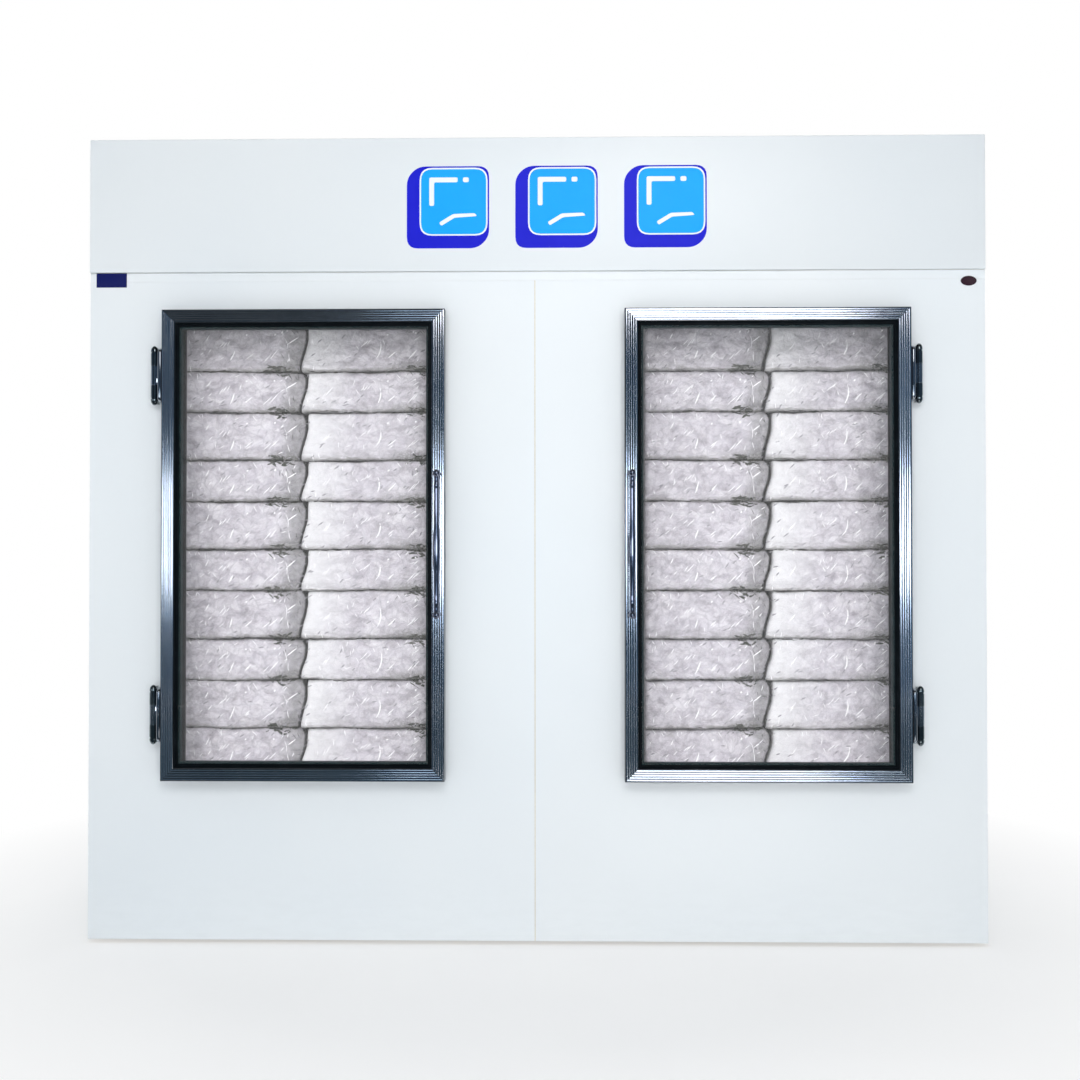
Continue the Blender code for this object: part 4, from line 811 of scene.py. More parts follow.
dress(clear_glass("outer glass", (0.984, 0.987, 0.990)), "outer_glass_left", "outer_glass_right")
dress(clear_glass("inner glass", (0.984, 0.985, 0.990)), "inner_glass_left", "inner_glass_right")
black = rubber("black rubber")
spacer_paint = rubber("dark spacer", (0.013, 0.032, 0.035), 0.45)
lip_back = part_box("glazing_gasket_left")[1].y
LIP_WIDTH = 0.0105
for hand, side in SIDES:
    middle = (side * DOOR_MIDDLE[0], DOOR_MIDDLE[1])
    lip = [(RAIL_FACE + 0.0002, lip_back), (RAIL_FACE + 0.0002, DOOR_FRONT + 0.0052)]
    lip += arc((RAIL_FACE + 0.0026, DOOR_FRONT + 0.0060), 0.0018, 200, 330, 5)
    lip.append((RAIL_FACE + 0.0060, DOOR_FRONT + 0.0085))
    lip += arc((RAIL_FACE + LIP_WIDTH - 0.0012, lip_back - 0.0014), 0.0012, 270, 360, 4)
    lip.append((RAIL_FACE + LIP_WIDTH, lip_back))
    piece = carried_frame(f"rubber_lip_{hand}", middle, *DOOR_SIZE, lip, black)
    settle(piece, f"door_{hand}", [f"glazing_gasket_{hand}"])
    seal_low, seal_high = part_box(f"door_seal_{hand}")
    front, back = seal_low.y, seal_high.y
    fold = (back - front) / 3
    bellows = [(0.006, front), (0.024, front), (0.024, front + fold * 0.8)]
    bellows += [(0.0215, front + fold * 1.2), (0.024, front + fold * 1.7), (0.024, back - 0.0008)]
    bellows += [(0.0232, back), (0.0068, back), (0.006, back - 0.0008)]
    bellows += [(0.006, front + fold * 1.7), (0.0085, front + fold * 1.2), (0.006, front + fold * 0.8)]
    piece = carried_frame(f"magnetic_seal_{hand}", middle, *DOOR_SIZE, bellows, black)
    settle(piece, f"door_{hand}", [f"door_seal_{hand}"])
    dress(spacer_paint, f"glass_spacer_{hand}")
    throat_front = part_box("inner_liner")[0].y + 0.0004
    throat_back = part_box("front_wall_panel")[1].y + 0.0010
    throat = rectangle(0.0302, 0.0312, throat_front, throat_back)
    piece = carried_frame(f"door_throat_{hand}", middle, *DOOR_SIZE, throat, black)
    settle(piece, "cabinet", ())
print("panes, lips, seals and door throats are in")

# %% [markdown]
# ## Chrome pulls
# The pulls are turned chrome spindles: a ball at each end, a slim neck with a ring, and a belly in
# the middle. A lathe makes them, and so does a turned profile here. The profile is written as a
# smooth curve of radii, because chrome shows every kink.

# %% Chrome and the pulls
def chrome(name, colour=(0.60, 0.64, 0.71), rough=0.07):
    """Bright plating under a breath of haze."""
    made, tree, shader = start_material(name, colour, Metallic=1.0, Roughness=rough)
    haze = clouds(tree, object_place(tree), 60.0, 4.0)
    feed(tree, shader, Roughness=rescale(tree, haze, 0.4, 0.8, rough * 0.7, rough * 2.6))
    stain(tree, shader, colour, tuple(c * 0.82 for c in colour), 25.0, 3.0, 0.4, 0.7, 0.6)
    grain(tree, shader, 300.0, 1.0, 0.00005, 0.4)
    return made


# The pulls' chrome is darkened: a painted dark reflection, as of the dark studio round the camera.
darkened_pull_chrome = chrome("darkened pull chrome", (0.25, 0.27, 0.35))
pull_low, pull_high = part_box("door_handle_right")
PULL_LENGTH = pull_high.z - pull_low.z
BALL = 0.010
pull_y = pull_low.y + BALL
pull_x = (pull_low.x + pull_high.x) / 2


def pull_radius(share):
    """The spindle's radius along its length: neck, bead, slow belly, bead, neck."""
    belly = 0.0060 + 0.0036 * math.exp(-(((share - 0.46) / 0.17) ** 2))
    for place, rise, width in (
        (0.105, 0.0022, 0.008), (0.13, 0.0012, 0.005), (0.895, 0.0022, 0.008), (0.87, 0.0012, 0.005)
    ):
        belly += rise * math.exp(-(((share - place) / width) ** 2))
    return min(belly, 0.0098)


def pull_profile():
    """The ball, the spindle and the other ball as (radius, along) points."""
    points = []
    ball = [
        (BALL * math.sin(math.pi * step / 10), BALL * (1 - math.cos(math.pi * step / 10)))
        for step in range(9)
    ]
    start, end = 2 * BALL - 0.0012, PULL_LENGTH - 2 * BALL + 0.0012
    for step in range(73):
        along = start + (end - start) * step / 72
        points.append((pull_radius(along / PULL_LENGTH), along))
    return ball + points + [(radius, PULL_LENGTH - along) for radius, along in reversed(ball)]


for hand, side in SIDES:
    shape = bmesh.new()
    add_turned(shape, pull_profile(), (side * pull_x, pull_y, pull_low.z), (0, 0, 1), 32)
    for z in (pull_low.z + BALL, pull_high.z - BALL):
        reach = DOOR_FRONT - pull_y - 0.0003
        post = [
            (0.0052, 0.004), (0.0046, 0.010), (0.0046, reach - 0.0062), (0.0072, reach - 0.0046),
            (0.0082, reach - 0.0022), (0.0082, reach)
        ]
        add_turned(shape, post, (side * pull_x, pull_y, z), (0, 1, 0), 28)
    piece = finish_mesh(f"chrome_pull_{hand}", shape, darkened_pull_chrome, 50)
    settle(piece, f"door_{hand}", [f"door_handle_{hand}"])
print("the pulls are", round(PULL_LENGTH * 1000), "mm long")

# %% [markdown]
# ## Hinges
# Each hinge is a pair of upright chrome capsules side by side: the fixed half carries the pin and two
# domed knuckles, the moving half is bolted to the door's edge. Their domed ends are turned, and the
# long bodies are soft boxes or half rounds.

# %% Chrome hinges
HINGE_X = 1.0115
HINGE_Y = -0.451
HINGE_HALF = 0.079
STRAP_NEAR = DOOR_MIDDLE[0] + DOOR_SIZE[0] / 2 + 0.0003
STRAP_WIDTH = 0.0129
BARREL = 0.0095
hinge_chrome = chrome("hinge chrome", (0.40, 0.43, 0.47), 0.06)
# The knuckles get a darker copy of the chrome: painted shade, as of the dark room that they mirror.
darkened_knuckle_chrome = chrome("darkened knuckle chrome", (0.19, 0.22, 0.23), 0.05)


def capsule_plan(x_low, x_high, y_front, y_back, side, steps=7):
    """The strap seen from above: half round in front, soft corners behind."""
    radius = (x_high - x_low) / 2
    middle = (x_low + x_high) / 2
    points = [(x_high - 0.001, y_back), (x_low + 0.001, y_back), (x_low, y_back - 0.001)]
    points += [
        (
            middle - radius * math.cos(math.pi * s / steps),
            y_front + radius - radius * math.sin(math.pi * s / steps)
        )
        for s in range(steps + 1)
    ]
    points += [(x_high, y_back - 0.001)]
    return [(side * x, y) for x, y in points]


def add_capsule(shape, plan, z_low, z_high, dome, steps=5):
    """An upright bar of that plan, drawn in at both ends like a thumb."""
    cx = sum(x for x, _ in plan) / len(plan)
    back = max(y for _, y in plan)
    levels = []
    for step in range(steps + 1):
        angle = math.pi / 2 * step / steps
        levels.append((z_low + dome * (1 - math.cos(angle)), math.sin(angle)))
    rings = []
    for z, share in levels + [(z_low + z_high - z, share) for z, share in reversed(levels)]:
        pull = 0.45 + 0.55 * share
        rings.append([(cx + (x - cx) * pull, back + (y - back) * pull, z) for x, y in plan])
    return add_loft(shape, rings)


HINGE_AWAY = 0.450
PIN = 0.0038
for hand, side in SIDES:
    for level, z in (("upper", DOOR_MIDDLE[1] + HINGE_AWAY), ("lower", DOOR_MIDDLE[1] - HINGE_AWAY)):
        leaf = f"{level}_hinge_leaf_{hand}"
        low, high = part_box(leaf)
        x = side * HINGE_X
        shape = bmesh.new()
        split = 2 * HINGE_HALF / 6
        add_box(
            shape, (x - BARREL, high.y - 0.005, low.z + 0.013), (x + BARREL, high.y, high.z - 0.013), 0.0012
        )
        for end in (-1, 1):
            near, far = sorted((z + end * (split + 0.0004), z + end * (HINGE_HALF - 0.0045)))
            add_box(shape, (x - 0.006, HINGE_Y, near), (x + 0.006, high.y - 0.003, far), 0.0008)
            top = HINGE_HALF - 0.0040
            knuckle = [
                (0.0, split), (BARREL - 0.0006, split), (BARREL, split + 0.0006), (BARREL, top - 0.0160)
            ]
            knuckle += [
                (BARREL - 0.0012, top - 0.0152), (BARREL - 0.0012, top - 0.0132), (BARREL, top - 0.0122)
            ]
            knuckle += [
                (BARREL * math.cos(a), top - 0.0110 + 0.0150 * math.sin(a))
                for a in (0.0, 0.2, 0.4, 0.6, 0.8, 1.0, 1.2, 1.4)
            ] + [(0.0, top + 0.004)]
            add_turned(shape, knuckle, (x, HINGE_Y, z), (0, 0, end), 28)
        add_dome(shape, (x, HINGE_Y, z), (0, 0, 1), [(PIN, -split - 0.002), (PIN, split + 0.002)], 20)
        piece = finish_mesh(f"{level}_leaf_{hand}", shape, darkened_knuckle_chrome, 40)
        settle(piece, "cabinet", [leaf])

        strap = f"{level}_hinge_strap_{hand}"
        low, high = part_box(strap)
        shape = bmesh.new()
        plan = capsule_plan(STRAP_NEAR, STRAP_NEAR + STRAP_WIDTH, low.y, high.y, side)
        add_capsule(shape, plan, low.z, high.z, 0.014, 8)
        bore = [
            (0.0045, -split + 0.0004), (BARREL - 0.0006, -split + 0.0004), (BARREL, -split + 0.001),
            (BARREL, split - 0.001), (BARREL - 0.0006, split - 0.0004), (0.0045, split - 0.0004)
        ]
        rings = []
        for radius, along in bore:
            rings.append(
                [shape.verts.new((*point, z + along)) for point in circle(radius, 28, (x, HINGE_Y))]
            )
        skin_rings(shape, rings + [rings[0]])
        inner, outer = sorted((side * (STRAP_NEAR + STRAP_WIDTH / 2), x - side * 0.006))
        add_box(
            shape, (inner, HINGE_Y - 0.006, z - split + 0.0009),
            (outer, HINGE_Y + 0.006, z + split - 0.0009), 0.0006
        )
        piece = finish_mesh(f"{level}_strap_{hand}", shape, hinge_chrome, 40)
        settle(piece, f"door_{hand}", [strap])
print("eight hinge halves")

# %% [markdown]
# ## Liner, foam and plain sheet
# Open a door and the inside shows: a white plastic liner with a stucco emboss that hides dents. Behind
# it lies foam, which only shows where a sheet is lifted off. Runners, ceiling, tray, shroud and the
# electrical box are galvanised steel, and zinc freezes on steel in flat crystals of slightly different
# grey. These shapes are right as they are in the frame, so each just gets its finish.

# %% Liner, foam and plain sheet
def stucco_liner():
    """White plastic with a pebbled emboss, greyer in patches towards its foot."""
    made, tree, shader = start_material(
        "white liner", (0.80, 0.83, 0.84), Roughness=0.42, Specular_IOR_Level=0.4
    )
    place = object_place(tree)
    tint = ramp(tree, clouds(tree, place, 2.2, 3.0), (0.3, (0.77, 0.80, 0.815)), (0.7, (0.83, 0.85, 0.855)))
    lower_grey = times(
        tree, rescale(tree, coordinates(tree)["Z"], 0.55, 0.18, 0.0, 0.5), clouds(tree, place, 18.0, 5.0)
    )
    feed(tree, shader, Base_Color=blend_colours(tree, lower_grey, tint, (0.66, 0.68, 0.69)))
    bumps(tree, shader, cell_pattern(tree, place, 210.0, "SMOOTH_F1"), 0.0012, 0.45)
    return made


def foam():
    """Yellow insulation foam with fine cells."""
    made, tree, shader = start_material(
        "insulation foam", (0.80, 0.70, 0.46), Roughness=0.9, Specular_IOR_Level=0.2
    )
    place = object_place(tree)
    cells = cell_pattern(tree, place, 300.0)
    tone = ramp(tree, clouds(tree, place, 5.0, 5.0), (0.3, (0.72, 0.60, 0.36)), (0.7, (0.86, 0.77, 0.54)))
    feed(
        tree, shader,
        Base_Color=blend_colours(tree, rescale(tree, cells, 0.2, 0.8, 0.0, 0.5), tone, (0.55, 0.43, 0.24))
    )
    bumps(tree, shader, cells, 0.002, 0.6)
    return made


def zinc(name, tone=1.0):
    """Galvanised steel with flat crystals."""
    made, tree, shader = start_material(name, (0.6, 0.62, 0.64), Metallic=1.0, Roughness=0.42)
    place = object_place(tree)
    crystal = cell_pattern(tree, place, 70.0, output="Color")
    shade = put(tree, "ShaderNodeSeparateColor", Color=crystal).outputs["Red"]
    colour = ramp(
        tree, shade, (0.0, (0.50 * tone, 0.53 * tone, 0.56 * tone)),
        (1.0, (0.70 * tone, 0.72 * tone, 0.74 * tone))
    )
    dull = rescale(tree, clouds(tree, place, 7.0, 5.0), 0.5, 0.75, 0.0, 0.6)
    feed(tree, shader, Base_Color=blend_colours(tree, dull, colour, (0.44, 0.46, 0.47)))
    feed(tree, shader, Roughness=rescale(tree, shade, 0.0, 1.0, 0.34, 0.52))
    bumps(tree, shader, clouds(tree, place, 160.0, 3.0), 0.0003, 0.3)
    return made


def plastic(name, colour, worn, rough=0.45):
    """Moulded plastic or enamel, a little worn."""
    made, tree, shader = start_material(name, colour, Roughness=rough, Specular_IOR_Level=0.4)
    stain(tree, shader, colour, worn, 12.0, 5.0, 0.45, 0.75, 0.7)
    polish = clouds(tree, object_place(tree), 60.0, 3.0)
    feed(tree, shader, Roughness=rescale(tree, polish, 0.3, 0.7, rough - 0.08, rough + 0.10))
    grain(tree, shader, 900.0, 2.0, 0.0002, 0.5)
    return made


def bare_metal(name, colour, worn, rough, stretch=(1, 1, 1)):
    """Plain metal with stains, and streaks along the stretch."""
    made, tree, shader = start_material(name, colour, Metallic=1.0, Roughness=rough)
    streaks = clouds(tree, object_place(tree, stretch), 40.0, 4.0)
    stain(tree, shader, colour, worn, 11.0, 5.0, 0.48, 0.70, 0.8)
    feed(tree, shader, Roughness=rescale(tree, streaks, 0.3, 0.7, rough - 0.08, rough + 0.12))
    bumps(tree, shader, streaks, 0.0003, 0.3)
    return made


liner_finish, foam_finish = stucco_liner(), foam()
zinc_finish = zinc("galvanised steel")
enamel = plastic("black enamel", (0.012, 0.013, 0.014), (0.035, 0.034, 0.032), 0.28)
fan_plastic = plastic("dark plastic", (0.016, 0.017, 0.018), (0.045, 0.044, 0.042))
pan_plastic = plastic("white plastic", (0.78, 0.79, 0.78), (0.66, 0.66, 0.62), 0.38)
sheet_aluminium = bare_metal("mill aluminium", (0.82, 0.83, 0.84), (0.62, 0.63, 0.64), 0.34, (1, 1, 12))
tube_copper = bare_metal("copper", (0.80, 0.39, 0.22), (0.36, 0.17, 0.10), 0.26)
steel = bare_metal("screw steel", (0.62, 0.63, 0.65), (0.42, 0.42, 0.43), 0.30)
dress(liner_finish, "inner_liner")
dress(
    foam_finish, "front_wall_panel", "left_wall_panel", "right_wall_panel", "rear_wall_panel", "floor_panel"
)
dress(zinc_finish, "ceiling_panel", "base_runner_left", "base_runner_right", "machine_tray", "fan_shroud")
dress(sheet_aluminium, "evaporator_housing")
dress(pan_plastic, "drain_pan")
print("finishes for the inside are ready")

# %% [markdown]
# ## Bags of ice
# Behind each door lie two columns of twelve clear plastic bags. A box with a bump map would read as
# boards, and a cloth simulation of forty-eight bags would take longer than it is worth, because packed
# ice hardly moves. So each bag is lofted: fifty-odd closed sections from end to end. Its top and bottom
# follow the wavy seam that it shares with its neighbours, its front swells over the cubes inside, and
# its ends lean and crumple where the plastic is gathered.

# %% Seams and swellings
# Without a seed, shifts that noise_vector gives would differ from run to run.
noise.seed_set(1)
ROWS = 12
THIN, THICK = 0.46, 0.54
SECTIONS = 54
FRONT_POINTS = 30
PHASE_STEP = 1.37
stack_low, stack_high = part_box("ice_bag_stack_right")
pair = (stack_high.z - stack_low.z) / (ROWS / 2)
seams = [stack_low.z]
for row in range(ROWS):
    seams.append(seams[-1] + pair * (THICK if row % 2 else THIN))
stack_front, stack_back = stack_low.y + 0.006, stack_high.y - 0.004


def ease(value, low, high):
    """A smooth step from 0 at low to 1 at high."""
    share = min(1.0, max(0.0, (value - low) / (high - low)))
    return share * share * (3 - 2 * share)


def seam_height(row, x, phase):
    """The wavy line between two rows; the lowest and the highest lie flat."""
    if row in (0, ROWS):
        return seams[row]
    slow = noise.noise(Vector((x * 8.0, row * 3.7, phase)))
    quick = noise.noise(Vector((x * 45.0, row * 5.1, phase)))
    ripple = noise.noise(Vector((x * 23.0, row * 2.3, phase)))
    return seams[row] + 0.0045 * slow + 0.0022 * ripple + 0.0018 * quick


def swell(x, z, phase, crumple):
    """How far the film stands out over the cubes, with folds where it is gathered."""
    cube = noise.voronoi(Vector((x * 26.0, z * 30.0, phase * 3.1)))[0]
    lump = 0.0052 * (1.0 - min(1.0, cube[0] * 1.5) ** 2)
    fold = abs(noise.noise(Vector((x * 55.0 + z * 40.0, z * 70.0 - x * 35.0, phase))))
    crease = abs(noise.noise(Vector((x * 95.0, z * 120.0, phase + 7.0))))
    return lump - 0.0036 * fold - (0.006 + 0.004 * crumple) * crumple * crease


print("the seams lie at", [round(seam, 3) for seam in seams])

# %% [markdown]
# ## One bag
# A bag's front could be a grid and its back left open, but through a door that stands open its ends
# and its back can be seen. So each section is a closed loop: up the front, over the top, down the back
# and under the foot. Each point carries its share of the bag's length and height for the film's finish.

# %% One bag and a stack of them
def add_bag(shape, x_start, x_end, row, phase, left_end, right_end, marks):
    """One bag; each end has its lean, and the reach and depth of the front's fall there."""
    share_x, share_z, pale = marks
    rings = []
    for step in range(SECTIONS + 1):
        u = step / SECTIONS
        straight = x_start + (x_end - x_start) * u
        low, high = seam_height(row, straight, phase), seam_height(row + 1, straight, phase)
        loop = []
        for point in range(FRONT_POINTS + 1):
            v = point / FRONT_POINTS
            lean = ease(v, 0.0, 0.75) * 2 - 1
            start = x_start + left_end[0] * lean
            end = x_end + right_end[0] * (lean - 0.9 * ease(v, 0.84, 1.0))
            x = start + (end - start) * u
            z = low + 0.0007 + (high - low - 0.0014) * v
            edge = abs(2 * v - 1)
            back = 0.014 * (1 - math.sqrt(max(0.0, 1 - edge ** 10)))
            for reach, depth, away in (
                (left_end[1], left_end[2], x - start), (right_end[1], right_end[2], end - x)
            ):
                near = max(0.0, 1 - away / reach)
                back += depth * (1 - math.sqrt(max(0.0, 1 - near ** 2.2)))
            crumple = ease(u, 0.70, 0.95) * (1.0 - ease(v, 0.10, 0.45)) + 0.35 * ease(u, 0.80, 1.0)
            y = stack_front + min(back, 0.060) - swell(x, z, phase, crumple) * (1 - 0.6 * edge ** 6)
            loop.append((x, y, z, u, v))
        first, last = loop[0], loop[-1]
        for share in (0.25, 0.6, 0.9):
            sink = 0.0006 + 0.0015 * abs(noise.noise(Vector((straight * 30, share * 9, phase))))
            loop.append((last[0], last[1] + (stack_back - last[1]) * share, last[2] - sink, u, 0.9))
        for point in range(6, -1, -1):
            v = point / 6
            y = stack_back - 0.020 * (1 - math.sqrt(max(0.0, 1 - abs(2 * v - 1) ** 3)))
            y += 0.002 * noise.noise(Vector((straight * 20, v * 5, phase)))
            loop.append(
                (
                    first[0] + (last[0] - first[0]) * v, min(y, stack_back),
                    first[2] + (last[2] - first[2]) * v, u, 0.6
                )
            )
        for share in (0.9, 0.6, 0.25):
            loop.append((first[0], first[1] + (stack_back - first[1]) * share, first[2] + 0.0008, u, 0.1))
        rings.append(loop)
    made = []
    for loop in rings:
        ring = []
        for x, y, z, u, v in loop:
            vert = shape.verts.new((x, y, z))
            vert[share_x], vert[share_z], vert[pale] = u, v, phase
            ring.append(vert)
        made.append(ring)
    skin_rings(shape, made)
    for ring in (made[0], made[-1]):
        centre = sum((vert.co for vert in ring), Vector()) / len(ring)
        inner = ring
        for scale in (0.82, 0.45):
            fresh = []
            for vert in ring:
                copy = shape.verts.new(centre + (vert.co - centre) * scale)
                copy[share_x], copy[share_z], copy[pale] = vert[share_x], 0.5, vert[pale]
                fresh.append(copy)
            skin_rings(shape, [inner, fresh])
            inner = fresh
        shape.faces.new(inner)


def bag_stack(hand, surface):
    """Both columns behind one door as one piece, and a tree that finds its surface for the folds."""
    low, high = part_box(f"ice_bag_stack_{hand}")
    middle = (low.x + high.x) / 2
    shape = bmesh.new()
    marks = [shape.verts.layers.float.new(name) for name in ("share_x", "share_z", "tone")]
    for row in range(ROWS):
        phase = row * PHASE_STEP + (50.0 if hand == "right" else 0.0)
        add_bag(
            shape, low.x + 0.0005, middle - 0.0008, row, phase, (0.0, 0.016, 0.006), (0.010, 0.080, 0.036),
            marks
        )
        add_bag(
            shape, middle + 0.0008, high.x - 0.0005, row, phase + 100.0, (0.010, 0.012, 0.007),
            (0.0, 0.040, 0.012), marks
        )
    bags = BVHTree.FromBMesh(shape)
    return finish_mesh(f"ice_bags_{hand}", shape, surface, 75), bags


print("rows of bags are", round(pair * THIN * 1000), "and", round(pair * THICK * 1000), "mm high")

# %% [markdown]
# ## Folds of the film
# Packed film shows short bright folds, mostly slanting one way, and dark gathers where it is tucked
# under at a lower corner. A bump map at that size goes soft. Each fold here is a slender ridge that
# hugs the bag: a ray finds the bag's surface under every point. Bags of one column are packed alike,
# so they share a list of folds, given as shares of the bag, with a small shift for each bag.

# %% Laying a fold
FOLDS = {
    "left": (
        (0.33, 0.55, 50, 0.018, 0.0014, 0.0), (0.355, 0.57, 50, 0.021, 0.0014, 0.0),
        (0.385, 0.60, 55, 0.015, 0.0012, 0.0),
        (0.415, 0.33, 68, 0.028, 0.0026, 0.1), (0.55, 0.33, 42, 0.023, 0.0018, 0.0),
        (0.545, 0.29, 42, 0.014, 0.0012, 0.0),
        (0.70, 0.28, 45, 0.028, 0.0014, 0.0), (0.755, 0.35, 46, 0.032, 0.0016, 0.0),
        (0.90, 0.66, 38, 0.030, 0.0020, 0.0),
        (0.850, 0.58, 100, 0.036, 0.0010, 0.45), (0.60, 0.88, -50, 0.020, 0.0012, 0.0),
        (0.765, 0.78, 60, 0.006, 0.0030, 0.0),
        (0.215, 0.70, 62, 0.018, 0.0016, 0.1), (0.24, 0.45, 48, 0.014, 0.0014, 0.0),
        (0.17, 0.36, 40, 0.012, 0.0012, 0.0),
        (0.07, 0.93, -50, 0.014, 0.0014, 0.0), (0.15, 0.92, -45, 0.012, 0.0012, 0.0),
        (0.535, 0.76, 40, 0.006, 0.0026, 0.0),
        (0.45, 0.90, 30, 0.013, 0.0012, 0.2), (0.875, 0.30, 100, 0.022, 0.0012, -0.2),
        (0.33, 0.28, 35, 0.016, 0.0010, 0.0),
    ),
    "right": (
        (0.60, 0.42, 78, 0.046, 0.0026, 0.5), (0.50, 0.60, 45, 0.018, 0.0014, 0.0),
        (0.525, 0.62, 48, 0.017, 0.0012, 0.0),
        (0.47, 0.55, 45, 0.012, 0.0012, 0.0), (0.71, 0.36, 42, 0.025, 0.0018, 0.0),
        (0.70, 0.30, 40, 0.014, 0.0012, 0.0),
        (0.87, 0.33, 46, 0.031, 0.0016, 0.0), (0.90, 0.38, 46, 0.025, 0.0014, 0.0),
        (0.91, 0.69, 38, 0.018, 0.0016, 0.0),
        (0.77, 0.88, -48, 0.018, 0.0012, 0.0), (0.83, 0.92, 60, 0.010, 0.0012, 0.0),
        (0.905, 0.80, 60, 0.006, 0.0032, 0.0),
        (0.19, 0.50, 55, 0.025, 0.0014, 0.1), (0.17, 0.45, 55, 0.018, 0.0012, 0.0),
        (0.40, 0.72, 72, 0.016, 0.0012, 0.2),
        (0.43, 0.50, -60, 0.014, 0.0012, 0.0), (0.36, 0.30, 20, 0.018, 0.0010, 0.1),
        (0.68, 0.76, 40, 0.006, 0.0026, 0.0),
    ),
}
GATHERS = {"left": 0.79, "right": 0.93}
SEAM_STEPS = 60


def add_fold(shape, bags, path, width, lift):
    """A slender fold along an (x, z) path: it hugs the bag at its sides and stands out in its middle."""
    rings = []
    for here, (x, z) in enumerate(path):
        ahead = Vector(path[min(here + 1, len(path) - 1)]) - Vector(path[max(here - 1, 0)])
        aside = Vector((-ahead.y, ahead.x)).normalized()
        taper = max(0.10, math.sin(math.pi * here / (len(path) - 1))) ** 0.7
        ring = []
        for side, proud in ((-1, 0.0001), (0, lift * taper), (1, 0.0001), (0, -0.0008)):
            px, pz = x + aside.x * side * width / 2 * taper, z + aside.y * side * width / 2 * taper
            hit = bags.ray_cast(Vector((px, stack_front - 0.1, pz)), Vector((0, 1, 0)))[0]
            ring.append((px, (hit.y if hit else stack_front + 0.02) - proud, pz))
        rings.append(ring)
    return add_loft(shape, rings)


def fold_path(x, z, degrees, length, bend, steps=6):
    """A short (x, z) stroke at that angle, bowed to one side."""
    angle = math.radians(degrees)
    along, aside = Vector((math.cos(angle), math.sin(angle))), Vector((math.sin(angle), -math.cos(angle)))
    path = []
    for step in range(steps + 1):
        share = step / steps - 0.5
        path.append(Vector((x, z)) + along * length * share + aside * length * bend * (0.25 - share ** 2))
    return path


def on_bag(bag, u, v):
    """The (x, z) at these shares along and up a bag, which is (start, end, foot, height)."""
    start, end, foot, height = bag
    return start + (end - start) * u, foot + height * v


print("folds can be laid on a bag")

# %% [markdown]
# ## Tones of the folds
# Folds that face the light look bright, those that turn away look grey, and where film is tucked under
# it is nearly black. These tones are painted: bright folds are painted highlights that glow a little,
# grey creases painted shade and dark gathers painted shadow. One material with a map would mix them
# into a haze. Three shapes, one for each tone, keep the strokes crisp. Noise shifts each stroke a
# little, so no two bags are alike.

# %% Bright, grey and dark folds
def listed_folds(bright, bags, bag, row, hand, column):
    """The folds of the list, in painted highlight, each with a small shift."""
    for number, (u, v, degrees, length, width, bend) in enumerate(FOLDS[column]):
        shift = noise.noise_vector(Vector((row * 3.3, number * 2.1, 5.0 if hand == "left" else 9.0)))
        spot = on_bag(bag, u + 0.012 * shift.x, v + 0.05 * shift.y)
        path = fold_path(*spot, degrees + 14 * shift.z, length * (1.1 + 0.4 * shift.x), bend)
        add_fold(bright, bags, path, width * 1.6, 0.0009)


def small_creases(bright, grey, bags, bag, row, hand):
    """Short creases in painted grey shade all over a bag, and each fifth one a fold in painted highlight.
    """
    for number in range(26):
        shift = noise.noise_vector(
            Vector((row * 5.3 + number * 1.7, number * 2.9, 12.0 if hand == "left" else 17.0))
        )
        u = 0.5 + 0.49 * math.sin(number * 2.4 + shift.x)
        v = 0.5 + 0.44 * math.sin(number * 4.1 + 2 * shift.y)
        fifth = number % 5 == 0
        slant, length = 35 + 50 * shift.z + 60 * fifth, 0.012 + 0.012 * abs(shift.x)
        path = fold_path(*on_bag(bag, u, v), slant, length, 0.3 * shift.y)
        add_fold(bright if fifth else grey, bags, path, 0.0018 if fifth else 0.0036, 0.0006)


def end_strokes(shapes, bags, bag, row, hand, column):
    """Strokes of painted highlight, shade and shadow towards the end of a bag, where the film is drawn
    together.
    """
    bright, grey, dark = shapes
    count, centre, spread = (16, 0.885, 0.080) if column == "left" else (7, 0.93, 0.05)
    for number in range(count):
        shift = noise.noise_vector(
            Vector((row * 2.7 + number * 3.1, number * 1.3, 21.0 if hand == "left" else 27.0))
        )
        u = centre + spread * math.sin(number * 2.9 + 2 * shift.x)
        v = 0.46 + 0.40 * math.sin(number * 1.7 + 2 * shift.y)
        slant, length = 70 * shift.z + 50 + 70 * (number % 2), 0.010 + 0.012 * abs(shift.x)
        path = fold_path(*on_bag(bag, u, v), slant, length, 0.4 * shift.y)
        shape, width = ((bright, 0.0018), (dark, 0.0015), (grey, 0.0044), (grey, 0.0040))[number % 4]
        add_fold(shape, bags, path, width, 0.0006)


def seam_shadow_line(dark, bags, bag, row, column):
    """The ragged painted shadow line under a bag, which dips where the film is tucked under."""
    gather, line = GATHERS[column], []
    reach = 0.95 if column == "left" else 0.99
    for step in range(SEAM_STEPS + 1):
        u = 0.01 + (reach - 0.01) * step / SEAM_STEPS
        x = on_bag(bag, u, 0)[0]
        dip = 0.0150 * math.exp(-((u - gather - 0.05) / 0.050) ** 2)
        ragged = 0.0022 * noise.noise(Vector((x * 120, row * 2.0, 3.0)))
        line.append((x, seam_height(row, x, row * PHASE_STEP) + 0.0012 + ragged - dip))
    for part in range(0, SEAM_STEPS, 6):
        width = 0.0018 + 0.0070 * abs(noise.noise(Vector((part * 0.7, row * 1.9, 8.0))))
        width += 0.0040 * (abs(part / SEAM_STEPS - gather - 0.02) < 0.10)
        add_fold(dark, bags, line[part:part + 8], width, 0.0003)


